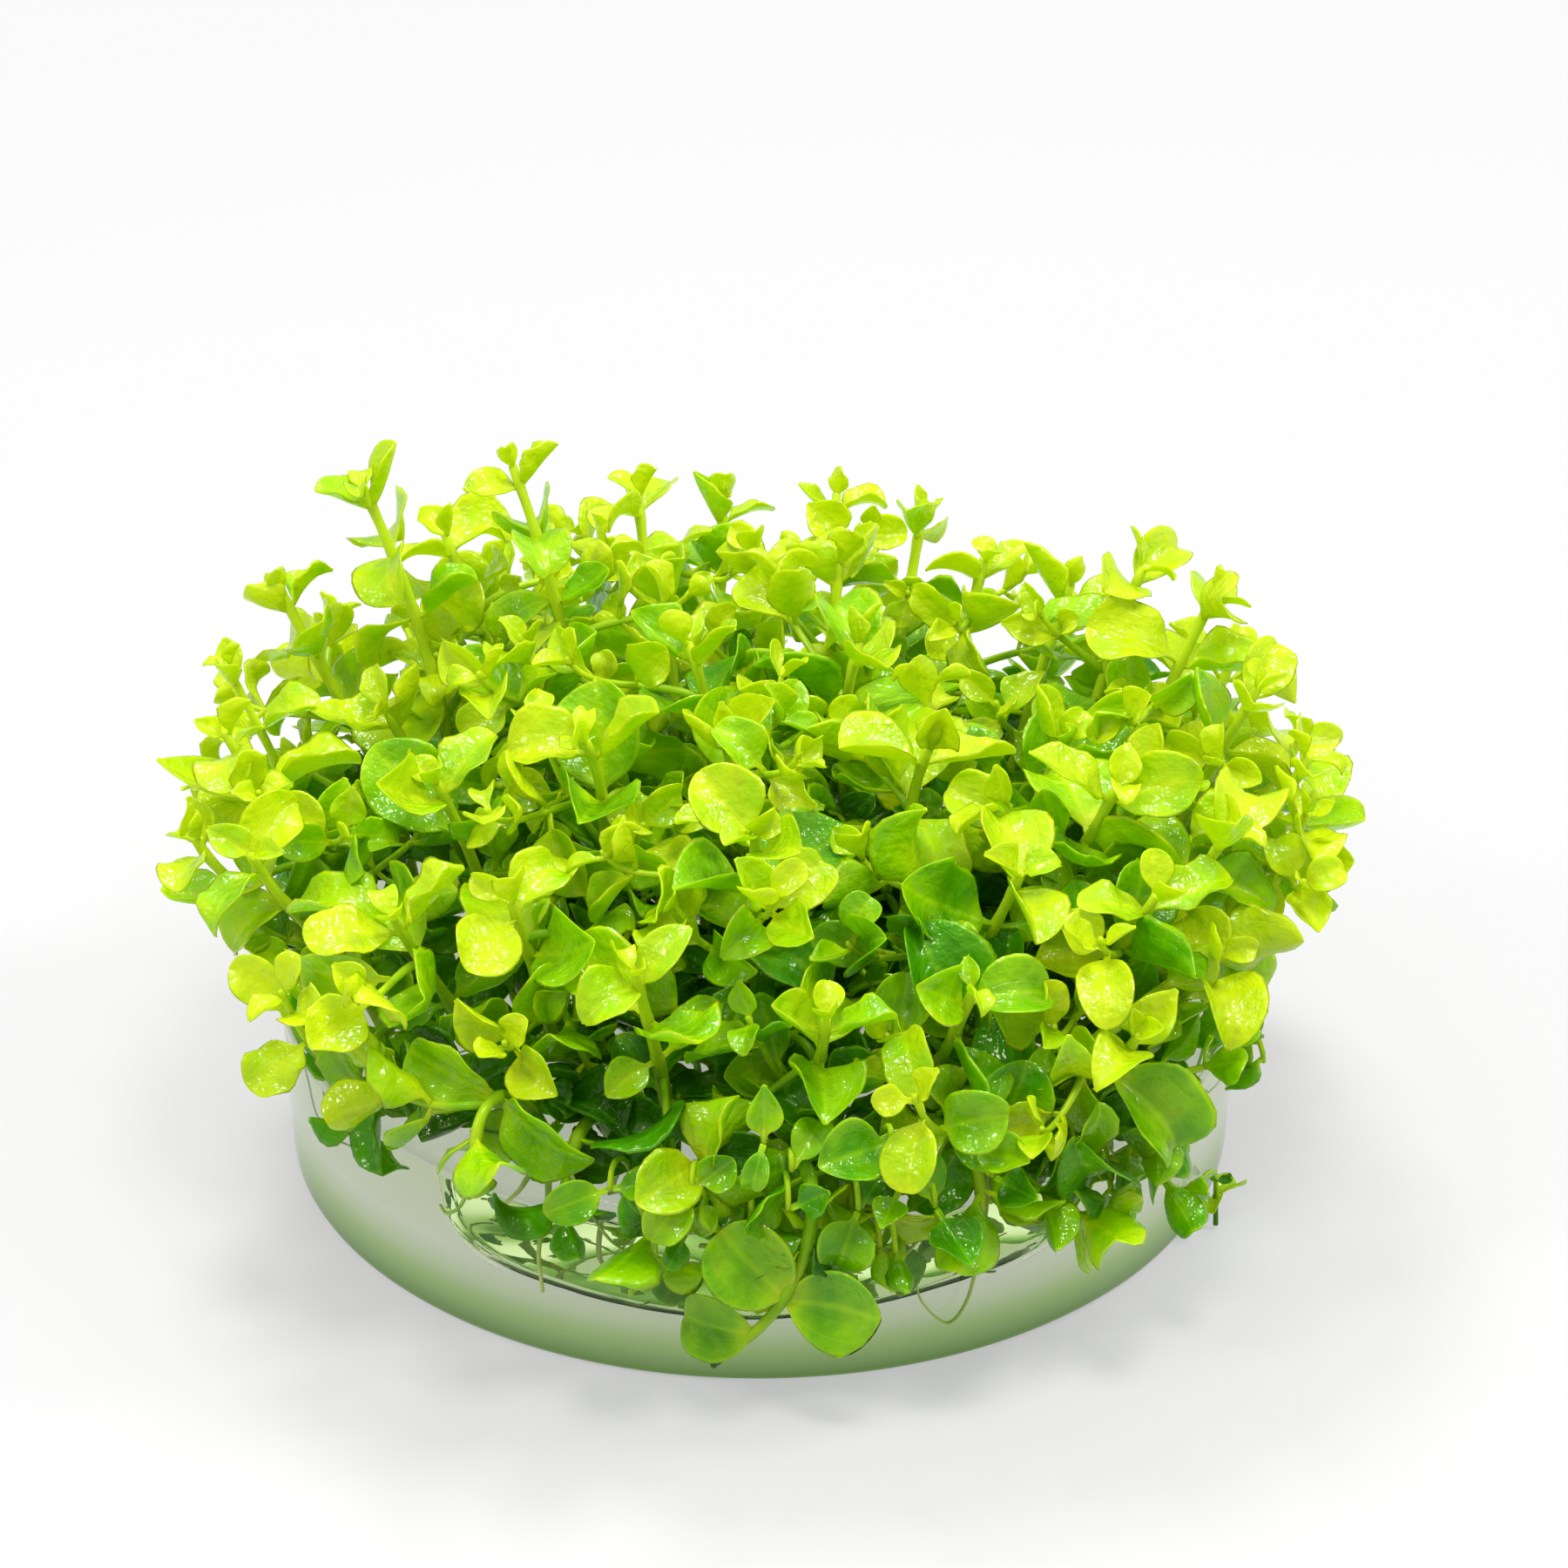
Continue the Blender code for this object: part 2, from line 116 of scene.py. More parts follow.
# Stems. The span of the bulge where leaves stand is in mm.
STEM_RADIUS = 0.50 * MM
TIP_RADIUS = 0.30 * MM
STEM_POINTS = 5
SWAY = 0.10
RISE = 0.40
LEAN_AT_TIP = 0.45
FINE_POINTS = 28
STEM_SIDES = 8
SHOOT_RADIUS = 0.30 * MM
SHOOT_TIP_RADIUS = 0.18 * MM
TIP_PULL = 0.35
SLENDER_SCALE = 2.0
SLENDER_LESS = 0.5
BULGE_SPAN = 0.6
NODE_BULGE = 0.22
ROOTED = 1.5 * MM

# How a hanging stem arches over the rim, in mm: up and out from its foot, then above its tip
ARCH_RISE = 7.5
ARCH_OUT = 2.5
HANG_RISE = 5.0
HANG_OUT = 0.5
HANG_SWAY = 5.0

# What the sprigs placed by rule vary in: the angle as a share of the ring's step, and lengths in mm
RING_SPREAD = (0.15, 0.45)
RING_REACH_SPREAD = 0.6
RING_HEIGHT_SPREAD = 2.0
FILLER_SCALES = (0.9, 1.15)

# Leaves stand in pairs. The gaps lead down from the tip, and each pair is turned from the one above.
# The opening is the angle between a leaf and the way to the tip, and grows by its step from pair to pair.
LEAF_LENGTH = 6.6 * MM
LEAF_BREADTH = 0.86
LEAF_THICKNESS = 0.50 * MM
LEAF_SEGMENTS = 6
LEAF_ROOT = 0.15 * MM
LEAF_FOOT = 1.0 * MM
WIDEST = 2.38
NODE_GAPS = (1.4 * MM, 3.4 * MM, 4.4 * MM)
NODE_SIZES = (0.78, 1.05, 0.95)
USUAL = {"more_turn": 90.0, "opening": 58.0, "opening_step": 12.0, "roll": 0.0, "bare": ()}
CURLS = (-45.0, -30.0, 25.0, 40.0)
CUPS = (0.25, 0.50)
SHRINKS = (1.0, 0.85, 0.7)
OPENING_SPREAD = 10
LENGTH_SPREAD = (0.9, 1.1)
TURNS = (0.0, 18.0, -18.0, 36.0, -36.0)
CLEARANCE = 0.15 * MM

# Finer leaves and shoots than the solids have
BLADE_THICKNESS = 0.24 * MM
STALK_RADIUS = 0.20 * MM
BLADE_RINGS = (0.03, 0.08, 0.14, 0.20, 0.26, 0.33, 0.41, 0.50, 0.60, 0.70, 0.79, 0.87, 0.935, 0.975, 0.993)
BLADE_SIDES = 14
SKIRT = ((10.0 * MM, 31.0 * MM), (15.0 * MM, 31.5 * MM), (23.0 * MM, 37.0 * MM))
LOWER_GAP = 3.9 * MM
LOWEST_LEAF = 1.5 * MM
SHOOTS_PER_SPRIG = 7
SHOOT_TRIES = 28
SHOOT_GAPS = (0.7 * MM, 1.9 * MM, 2.8 * MM)
SHOOT_SIZES = (0.42, 0.66, 0.72)
BUD_GAP = 0.35 * MM
BUD_SIZE = 0.40
FREE_TURNS = (0.0, 22.0, -22.0, 45.0)
BENDS = ("hook", "twist", "ripple", "fold")
FREE_SHRINKS = (1.0, 0.8, 0.62)
CELL = 7.0 * MM
SMALL_LEAF = 2.5 * MM

# A leaf where the solids have none: how far it stands off the stem in mm, and what it varies in
LEAF_OUTSET = 0.1
CURL_SHARES = (0.6, 1.2)
PAIR_LENGTHS = (0.80, 1.18)
PAIR_TILT = 22

# What the looks of the leaves are drawn from, with angles in degrees and the rest as shares
TINT_SPREAD = 0.10
HOOKS = (-85, 30)
TWIST_SPREAD = 32
RIPPLES = (0.02, 0.20)
FOLDS = (-0.12, 0.55)
BREADTHS = (0.64, 0.98)
STALKS = (0.10, 0.24)
POINTS = (0.48, 0.58, 0.75, 0.95)

# The tint of a leaf from 0, deep, to 1, lime. It is partly the paler young growth on top and partly painted
# light: painted shade by its depth in the cushion, which is in mm, and a painted glow as of light shining
# through it near the edge and to the back
TINT_ON_TOP = 0.93
TINT_AGE_AND_SHADE_LOSS = 0.60
TINT_DEPTH = 15
TINT_EDGE_GLOW_FROM = 0.72
TINT_EDGE_GLOW = 0.6
TINT_BACKLIGHT_GLOW = 0.14
TINT_STEP = 0.10
BUD_TINT = 0.15
WARMTH_SPREAD = 0.10

# The bud at a tip, and the lower pairs of a main stem
BUD_OPENING = 34
LOWER_OPENING = 75
LOWER_SIZES = (0.50, 0.88)

# Side shoots: where they start and may end, in mm, and how they leave their stem and turn up
SHOOT_FIRST = (3.5, 6.0)
SHOOT_STEP = 2.7
SHOOT_LAST = 3
SHOOT_REACHES = (4.0, 9.5)
SHOOT_RISE = (2.0, 8.0)
SHOOT_FALL = -6.0
FALL_FROM = -18
SHOOT_ABOVE = 1.0
SHOOT_BESIDE = 2
SHOOT_OVER = 3
SHOOT_EDGE = 0.97
SHOOT_SLANT = 1.2
SHOOT_PUSH = 0.4
SHOOT_TURN_UP = 0.5
SHOOT_JOINED = 4
SHOOT_WARMTH = (0.05, 0.12)
SHOOT_TINT = 0.12
SHOOT_TINT_STEP = 0.08
SHOOT_OPENING = 42
SHOOT_OPENING_STEP = 13
SHOOT_END = 1.0

# The form of a fine leaf
SPINE_STEPS = 49
ROOT_POWER = 0.62
CREASE = -0.10
CREASE_WIDTH = 0.22
RIPPLE_WAVES = 14.0
RIPPLE_SIDES = 2.0
THIN_TIP = 0.5
THIN_FROM = 3.0
FULL_LEAF = 5
LEAST_FULL = 0.3
EDGE_POWER = 0.6
CALMER = (1.0, 0.5, 0.0)

# Sprigs placed one by one: the tip in mm, the turn of the top pair from left and right, and the leaf scale
PLACED = {
    "sprig_tall_left": ((-24.4, 8.0, 40.8), 0, 0.85),
    "sprig_tall_left_inner": ((-15.3, 11.0, 40.8), 5, 0.72),
    "sprig_back_left": ((-20.0, 17.0, 33.0), 40, 0.95),
    "sprig_back_left_upright": ((-8.0, 28.0, 30.2), 60, 0.95),
    "sprig_back_curled": ((-2.5, 29.5, 28.8), 20, 0.80),
    "sprig_back_stalk": ((5.0, 29.0, 29.8), 15, 0.70),
    "sprig_back_round": ((10.5, 27.0, 29.0), 70, 0.80),
    "sprig_back_right": ((14.5, 22.0, 28.6), 30, 0.90),
    "sprig_right_round": ((19.8, 15.5, 30.2), 0, 0.95),
    "sprig_right_pointed": ((24.0, 10.0, 34.2), 60, 0.95),
    "sprig_right_paired": ((28.0, 5.0, 34.6), 85, 0.90),
    "sprig_right_drooping": ((30.5, -1.0, 31.6), 75, 0.95),
    "sprig_right_edge": ((33.6, -4.0, 28.5), 80, 0.90),
    "sprig_right_low": ((33.2, -9.0, 27.4), 100, 0.90),
    "sprig_right_tall_leaf": ((21.5, -12.0, 31.0), 0, 1.25),
    "sprig_right_broad": ((28.0, -14.0, 29.0), 65, 1.20),
    "sprig_right_front_round": ((23.5, -19.0, 27.5), 20, 1.15),
    "sprig_right_front_broad": ((15.5, -19.0, 29.0), 100, 1.10),
    "sprig_left_curly": ((-30.0, 11.0, 32.0), 30, 0.80),
    "sprig_left_small": ((-33.0, 4.0, 30.5), 85, 0.65),
    "sprig_left_long_leaf": ((-32.6, -2.0, 28.9), 90, 1.00),
    "sprig_left_edge": ((-34.3, -7.5, 24.8), 75, 0.85),
    "sprig_left_pointed": ((-30.5, -12.0, 26.2), 60, 1.10),
    "sprig_left_rounded": ((-14.5, 5.0, 31.5), 70, 1.00),
    "sprig_left_folded": ((-19.5, -8.0, 29.0), 45, 1.10),
    "sprig_left_front_large": ((-21.5, -19.0, 26.0), 20, 1.15),
    "sprig_left_front_pair": ((-14.5, -20.5, 28.0), 60, 1.00),
    "sprig_middle_lime": ((10.3, -8.0, 31.3), 15, 1.15),
    "sprig_middle_starry": ((-2.0, -6.0, 31.2), 0, 0.90),
    "sprig_front_middle": ((4.0, -28.0, 24.5), 0, 0.95),
    "sprig_front_right": ((12.5, -26.5, 25.5), 10, 0.95),
    "sprig_front_left": ((-7.0, -27.0, 27.0), 40, 1.00),
    "sprig_left_front_low": ((-16.5, -29.0, 15.5), 70, 1.00),
}

# Sprigs with routes of their own, as four handles in mm, and how their leaves differ
ROUTED = {
    "sprig_front_draped": (
        ((1.0, -26.0, 11.3), (3.0, -31.5, 22.0), (5.6, -34.6, 11.5), (-1.2, -32.0, 4.4)),
        {
            "turn": 0, "more_turn": 0, "scale": 0.9, "opening": 62, "opening_step": 55, "roll": -105,
            "bare": (0,),
        },
    ),
    "sprig_right_rim": (
        ((14.0, -22.5, 11.3), (15.5, -27.0, 20.0), (23.5, -22.5, 22.5), (29.4, -12.5, 21.4)),
        {"turn": 75, "scale": 0.85},
    ),
    "sprig_stray_right": (
        ((28.3, -12.9, 0.25), (28.3, -12.7, 1.3), (28.25, -12.5, 2.4), (28.2, -12.3, 3.4)),
        {"turn": 45, "scale": 0.42},
    ),
}

# How the leaves of two sprigs differ from the rest
SHOWN_LOOKS = {
    "sprig_front_draped": {
        "tint": 0.46, "hook": -0.15, "twist": 0.1, "ripple": 0.03, "fold": 0.06, "breadth": 1.05,
        "stalk": 0.05, "point": 0.46,
    },
    "sprig_stray_right": {"tint": 0.72, "hook": -0.5, "fold": 0.35, "breadth": 1.0},
}

# Colours of the leaves from the deepest to the brightest, of light through them and of their gloss
DEEP = (0.010, 0.110, 0.0002)
MIDDLE = (0.092, 0.430, 0.0004)
FRESH = (0.430, 0.765, 0.001)
LIME = (0.760, 0.880, 0.008)
THROUGH = (0.66, 0.90, 0.001)
GLOSS_TINT = (0.85, 1.00, 0.25)
BROWNED = (0.42, 0.40, 0.03)

# Colours of the stems and the roots
STEM_DEEP = (0.04, 0.22, 0.002)
STEM_GREEN = (0.26, 0.56, 0.006)
STEM_LIME = (0.66, 0.84, 0.02)
ROOT_PALE = (0.62, 0.72, 0.22)

# The gel's colour in its depth, and the painted shade at its foot, darkest at the floor, as (share of the
# band's height, colour)
GEL_TINT = (0.74, 0.94, 0.27)
GEL_DENSITY = 19.0
GEL_CLEAR = (0.97, 0.99, 0.96)
GEL_SHADE_BAND = 6.0 * MM
GEL_FOOT_SHADE = (
    (0.08, (0.03, 0.12, 0.004)),
    (0.25, (0.13, 0.30, 0.05)),
    (0.37, (0.22, 0.44, 0.08)),
    (0.50, (0.34, 0.58, 0.16)),
    (0.68, (0.62, 0.80, 0.45)),
    (0.95, GEL_CLEAR),
)
# The radii over which the painted shade at the foot gives way inwards to clear gel
GEL_SHADE_RING = (26.5 * MM, 28.5 * MM)
GEL_IOR = 1.34

# The veins of the leaves, and how fine each grain is, per metre
VEIN_GAPS = 3
FILM_SCALE = 1200.0
LEAF_GRAIN = 360.0
SPOT_GRAIN = 520.0
STEM_GRAIN = 420.0
STEM_LINES = 900.0
ROOT_GRAIN = 260.0
GEL_GRAIN = 160.0
FLOOR_GRAIN = 6.0

# Small shoots that stand on the gel between the sprigs, and shoots that hang over its rim. Each row has the
# name, whether they hang, how many, the radius and the angle of their feet, the reach, the rise and the tint.
LOW_SHOOTS = (
    ("undergrowth", False, 150, (2.0, 25.5), (0.0, 360.0), (-1.5, 2.5), (4.0, 11.0), 0.15),
    ("undergrowth_front", False, 80, (19.0, 27.0), (-128.0, -32.0), (-0.5, 2.5), (2.0, 7.5), 0.24),
    ("fringe_front", True, 130, (25.5, 28.0), (-120.0, -40.0), (3.6, 5.6), (-2.0, 4.5), 0.54),
    ("fringe_around", True, 60, (25.5, 28.0), (-40.0, 240.0), (3.6, 5.0), (-1.0, 4.5), 0.35),
)

# Leaf pairs that hang at the front: x and z in mm, the turn, the length in mm and the tint
FRONT_PAIRS = (
    (0.4, 18.6, 90, 3.6, 0.55),
    (2.0, 16.6, 60, 3.8, 0.40),
    (1.8, 14.6, 215, 3.9, 0.44),
    (7.8, 18.0, 200, 4.7, 0.34),
    (8.3, 14.6, 80, 3.8, 0.48),
    (12.2, 16.6, 345, 4.4, 0.55),
    (13.8, 14.2, 330, 3.8, 0.40),
    (10.4, 13.0, 300, 4.4, 0.30),
    (5.9, 13.6, 250, 4.2, 0.36),
    (-3.8, 15.2, 230, 3.9, 0.60),
    (-8.6, 14.6, 200, 4.2, 0.50),
    (17.0, 17.4, 20, 4.0, 0.60),
)

# How far out those pairs may hang, which way they face, and how the leaves of a pair differ
FRONT_REACHES = (32.0 * MM, 33.0 * MM, 34.0 * MM, 34.5 * MM)
FRONT_FACING = (0.0, -0.80, 0.60)
FRONT_OPENING = 76.0
FRONT_TURN = 165
FRONT_SHARES = (1.0, 0.8)
FRONT_ARRANGEMENT = 7

# The leaves and stems of the small shoots. The bare end of a stem is in mm.
LOW_GAPS = (0.4 * MM, 1.9 * MM, 2.3 * MM)
LOW_SIZES = (0.60, 0.78, 0.80)
LOW_RADIUS = 0.26 * MM
LOW_RINGS = (0.04, 0.13, 0.25, 0.40, 0.56, 0.71, 0.84, 0.93, 0.985)
LOW_SIDES = 10
LOW_END = 0.8
LOW_LENGTHS = (0.8, 1.2)
LOW_OPENING = 55
LOW_OPENING_STEP = 12
THIN_SIDES = 6

# How the small shoots bend, in mm and as shares of the way from the foot to the tip
LOW_FOOT_SHARE = 0.6
LOW_TIP_SHARE = 0.4
LOW_INWARD = 0.6
LOW_UPRIGHT_TIP = 2.0
LOW_ARCH_RISE = 4.0
LOW_ARCH_OUT = 1.2
LOW_HANG_RISE = 3.0

# Roots that hang down the outside of the wall at the front: their thickness and their (x, z) points, in mm
WALL_GAP = 0.45 * MM
WALL_ROOT_POINTS = 24
WALL_ROOT_TAPER = 0.5
WALL_ROOTS = (
    (0.42, ((-12.3, 13.4), (-12.4, 11.6), (-12.8, 9.6), (-13.0, 7.6), (-12.8, 5.2))),
    (0.34, ((-16.7, 14.5), (-17.0, 12.6), (-17.3, 10.7), (-17.8, 9.3), (-18.6, 8.5), (-19.0, 8.9))),
    (0.36, ((-13.6, 13.0), (-14.1, 12.0), (-15.0, 10.7), (-15.7, 9.4))),
    (0.30, ((-11.0, 14.1), (-10.4, 12.8), (-9.7, 11.4), (-8.4, 9.7), (-6.1, 8.8))),
    (0.26, (
        (13.6, 13.8), (13.5, 10.5), (12.8, 6.0), (12.2, 4.2),
        (11.4, 3.4), (10.6, 4.0), (9.7, 5.4), (9.4, 6.6),
    )),
    (0.28, ((10.6, 11.2), (9.6, 9.9), (8.3, 8.5), (7.1, 7.5))),
)

# The leaves inside the gel: the lowest and highest corner of their place in mm, how many, and their tint.
# Their lengths and heights are in mm, and their openings in degrees.
SUNK = (
    ((-6.0, -26.5, 4.5), (17.0, -22.0, 8.0), 8, 0.62),
    ((17.0, -16.0, 3.5), (25.0, -7.0, 8.0), 13, 0.45),
)
SUNK_TRIES = 40
SUNK_LENGTHS = (3.4, 5.2)
SUNK_OPENINGS = (60, 100)
SUNK_LEAN = 0.4
SUNK_HEIGHTS = (1.6, 9.2)
SUNK_ARRANGEMENT = 19

# The roots inside the gel: every third sprig has one, which wanders in steps. Lengths are in mm.
ROOT_EVERY = 3
ROOT_ARRANGEMENT = 41
ROOT_START = 1.2
ROOT_STEPS = (12, 22)
ROOT_STEP = 0.75
ROOT_DRIFT = (0.1, 0.5)
ROOT_WANDER = 0.10
ROOT_SINK = 1.1
ROOT_SINK_SPREAD = (-0.1, 0.15)
ROOT_BEND_HEIGHT = 1.6
ROOT_BEND_SPAN = 4
ROOT_LOWEST = 1.1
INSIDE_WALL = 1.6
ROOT_POINTS = 36
ROOT_RADII = (0.14, 0.22)
ROOT_TAPER = 0.6
ROOT_TINT = 0.5

# The floor, the lights (name, place, size, power) and the picture
FLOOR_REACH = 3.0
FLOOR_PALE = (0.230, 0.227, 0.229)
FLOOR_PALER = (0.240, 0.237, 0.239)
FLOOR_GLOW = 0.46
WET_CONTACT = 0.03 * MM
ROOM_LIGHT = 0.38
ROOM_OVERHEAD = 0.50
SOFTBOXES = (
    ("softbox_back", (-0.10, 0.30, 0.55), 0.15, 1.9),
    ("softbox_left", (-0.35, -0.20, 0.42), 0.11, 1.0),
    ("softbox_right", (0.38, 0.05, 0.40), 0.13, 1.4),
    ("softbox_top", (0.05, -0.12, 0.60), 0.15, 2.0),
)
LIGHT_TARGET = (0.0, 0.0, 0.02)
EXPOSURE = 0.0


def route_points(handles, count):
    """Points on the Bezier curve of four handles."""
    a, b, c, d = handles
    points = []
    for i in range(count):
        t = i / (count - 1)
        u = 1.0 - t
        points.append(a * u**3 + b * (3 * u * u * t) + c * (3 * u * t * t) + d * t**3)
    return points


def along(points, distance):
    """The place and the direction at this distance back from the end of a line of points."""
    for before, after in zip(points[-2::-1], points[:0:-1]):
        step = (after - before).length
        if distance <= step or before is points[0]:
            break
        distance -= step
    direction = (after - before).normalized()
    return after - direction * distance, direction


def line_length(points):
    return sum((b - a).length for a, b in zip(points, points[1:]))


def at_angle(radius, angle, height):
    return Vector((radius * math.cos(angle), radius * math.sin(angle), height))


def gel_top(radius):
    """How high the gel's top is at this radius: flat, with a rim that rises to the wall."""
    inside = GEL_RADIUS - GEL_RIM_WIDTH
    rise = max(0.0, (radius - inside) / GEL_RIM_WIDTH)
    return GEL_HEIGHT - GEL_RIM_RISE + GEL_RIM_RISE * rise**2


def dome_height(radius):
    """The height of the cushion's upper surface at this radius."""
    return CUSHION_TOP - SHOULDER_DROP * (radius / CUSHION_RADIUS) ** 3


def dome_point(rng):
    """A random place on the cushion's upper surface, or a little below it."""
    radius = CUSHION_RADIUS * TIP_REACH * math.sqrt(rng.random())
    angle = rng.uniform(0.0, 2 * math.pi)
    return at_angle(radius, angle, dome_height(radius) - rng.uniform(0.0, TIP_DEPTH))


def farthest(places, tips):
    """The place that is farthest from the tips there are, which spreads the sprigs evenly."""
    return max(places, key=lambda place: min((place - tip).length for tip in tips))


def upright_route(foot, tip, outward, sway):
    """Handles of a stem that rises from its foot and leans out at its tip."""
    reach = (tip - foot).length
    ending = (outward * LEAN_AT_TIP + UP).normalized()
    rising = foot + (UP * RISE + outward * SWAY + sway) * reach
    return foot, rising, tip - ending * TIP_PULL * reach, tip


def hanging_route(foot, tip, outward, sway):
    """Handles of a stem that arches over the gel's rim and hangs."""
    over = foot + UP * ARCH_RISE * MM + outward * ARCH_OUT * MM
    above = tip + (UP * HANG_RISE - outward * HANG_OUT) * MM + sway * HANG_SWAY * MM
    return foot, over, above, tip


def sprig_route(tip, rng):
    """Handles from a foot on the gel, nearer the middle than the tip is, to this tip."""
    outward = Vector((tip.x, tip.y, 0.0)).normalized()
    foot_radius = min(tip.xy.length * FOOT_PULL, FOOT_REACH)
    foot = outward * foot_radius + UP * (gel_top(foot_radius) + FOOT_GAP)
    sway = Vector((rng.uniform(-SWAY, SWAY), rng.uniform(-SWAY, SWAY), 0.0))
    bend = hanging_route if tip.z < HANGING_TOP else upright_route
    return bend(foot, tip, outward, sway)


def filler_tips(tips, rng):
    """The tips that fill the cushion: a ring of hanging ones, then ones spread over the dome."""
    made = []
    for i in range(HANGING_SPRIGS):
        angle = 2 * math.pi * (i + rng.uniform(*RING_SPREAD)) / HANGING_SPRIGS
        aside = rng.uniform(-RING_REACH_SPREAD, RING_REACH_SPREAD) * MM
        radius = HANGING_RADIUS - HANGING_NARROW * abs(math.cos(angle)) + aside
        higher = rng.uniform(-RING_HEIGHT_SPREAD, RING_HEIGHT_SPREAD) * MM
        height = HANGING_HEIGHT + FRONT_DROP * math.sin(angle) + higher
        made.append(at_angle(radius, angle, height))
    for _ in range(DOME_SPRIGS):
        made.append(farthest([dome_point(rng) for _ in range(DOME_TRIES)], tips + made))
    return made


def node_distance(rank):
    """How far below the tip the pair of leaves of this rank stands."""
    return sum(NODE_GAPS[: rank + 1])


def plan(name, handles, turn, scale, **special):
    """A sprig as planned, before its leaves are chosen. A special setting takes the usual one's place."""
    route = route_points(handles, STEM_POINTS)
    most = len(NODE_GAPS) if route[-1].z > TALL else len(NODE_GAPS) - 1
    pairs = sum(1 for rank in range(most) if node_distance(rank) < line_length(route))
    placed = {"name": name, "route": route, "handles": handles, "turn": turn, "scale": scale}
    return {**USUAL, **placed, "pairs": pairs, "leaves": [], "own": [], **special}


def plans():
    """Every sprig as planned, the listed ones first."""
    made = []
    for name, (handles, leaves) in ROUTED.items():
        made.append(plan(name, [Vector(handle) * MM for handle in handles], **leaves))
    for name, (tip, turn, scale) in PLACED.items():
        made.append(plan(name, sprig_route(Vector(tip) * MM, random.Random(name)), turn, scale))
    rng = random.Random(ARRANGEMENT)
    for i, tip in enumerate(filler_tips([sprig["route"][-1] for sprig in made], rng)):
        handles = sprig_route(tip, rng)
        made.append(plan(f"sprig_{i + 1:02d}", handles, rng.uniform(0, 180), rng.uniform(*FILLER_SCALES)))
    return made


def outline(t):
    """Half the width of a leaf, as a share of its widest: broad, with an acute tip."""
    return min(1.0, WIDEST * math.sqrt(t) * (1.0 - t) ** 0.8)


def leaf_axes(tangent, turn, opening):
    """Axes of a leaf: along it, across it, and out of its upper face, which looks to the stem's tip.

    With no turn the leaf points to the right as seen from the front."""
    sideways = Vector((1.0, 0.0, 0.0)) - tangent * tangent.x
    if sideways.length < 0.3:
        sideways = Vector((0.0, 1.0, 0.0)) - tangent * tangent.y
    sideways.normalize()
    sideways.rotate(Matrix.Rotation(turn, 3, tangent))
    forward = tangent * math.cos(opening) + sideways * math.sin(opening)
    upper = tangent * math.sin(opening) - sideways * math.cos(opening)
    return forward, upper.cross(forward).normalized(), upper


def rolled(axes, angle):
    """The axes of a leaf that is turned about its own length, as on a twisted stalk."""
    forward, across, upper = axes
    cosine, sine = math.cos(angle), math.sin(angle)
    return forward, across * cosine + upper * sine, upper * cosine - across * sine


def leaf_point(leaf, t, s, lift=0.0):
    """A point of the leaf, t along it from 0 to 1 and s across it from -1 to 1."""
    origin, (forward, across, upper), length, curl, cup = leaf
    bend = curl * t
    ahead = length * math.sin(bend) / curl
    above = length * (1.0 - math.cos(bend)) / curl
    half = 0.5 * LEAF_BREADTH * length * outline(t)
    normal = upper * math.cos(bend) - forward * math.sin(bend)
    spine = origin + forward * ahead + upper * above
    return spine + across * (half * s) + normal * (cup * half * s * s + lift)


def leaf_blade(bm, leaf, swell=0.0):
    """Adds a leaf as a flat six-sided double cone, its rim bent to the leaf's outline."""
    made = bmesh.ops.create_uvsphere(bm, u_segments=LEAF_SEGMENTS, v_segments=2, radius=1.0)
    origin, axes, length, curl, cup = leaf
    grown = (origin, axes, length + 2 * swell, curl, cup)
    for vert in made["verts"]:
        t = max(0.0, (vert.co.y + 1.0) / 2.0) ** 0.7
        s = 0.0 if abs(vert.co.x) < 0.1 else math.copysign(1.0, vert.co.x)
        lift = vert.co.z * (LEAF_THICKNESS / 2 + swell)
        vert.co = leaf_point(grown, min(t, 1.0), s, lift)


def outer_part(leaf):
    """The leaf without its foot, which its own stem and the leaf opposite share."""
    origin, axes, length, curl, cup = leaf
    return origin + axes[0] * LEAF_FOOT, axes, length - LEAF_FOOT, curl, cup


def shape_of(build):
    """A search tree of the mesh that build(bm) makes, and its box."""
    bm = bmesh.new()
    build(bm)
    tree = BVHTree.FromBMesh(bm)
    low = [min(vert.co[i] for vert in bm.verts) for i in range(3)]
    high = [max(vert.co[i] for vert in bm.verts) for i in range(3)]
    bm.free()
    return tree, low, high


def clear_of(shape, others):
    """Whether a shape meets none of the others."""
    tree, low, high = shape
    for other, other_low, other_high in others:
        apart = any(low[i] > other_high[i] or high[i] < other_low[i] for i in range(3))
        if not apart and tree.overlap(other):
            return False
    return True


def stem_radius(share):
    return STEM_RADIUS + (TIP_RADIUS - STEM_RADIUS) * share


def stem_hull(bm, route):
    """Adds a loose four-sided sleeve round a stem, for the tests of clearance."""
    for i, (low, high) in enumerate(zip(route, route[1:])):
        direction = high - low
        middle = (low + high) / 2
        turned = direction.to_track_quat("Z", "Y").to_matrix().to_4x4()
        last = len(route) - 1
        bmesh.ops.create_cone(
            bm,
            cap_ends=True,
            segments=4,
            radius1=stem_radius(i / last) + CLEARANCE,
            radius2=stem_radius((i + 1) / last) + CLEARANCE,
            depth=direction.length,
            matrix=Matrix.Translation(middle) @ turned,
        )


def ground_hull(bm):
    """Adds the gel with its clearance, as a plain drum, and the ground that it stands on."""
    bmesh.ops.create_grid(bm, x_segments=1, y_segments=1, size=2 * CUSHION_RADIUS)
    bmesh.ops.create_cone(
        bm,
        cap_ends=True,
        segments=GEL_STEPS,
        radius1=GEL_RADIUS + CLEARANCE,
        radius2=GEL_RADIUS + CLEARANCE,
        depth=GEL_HEIGHT,
        matrix=Matrix.Translation((0.0, 0.0, GEL_HEIGHT / 2)),
    )


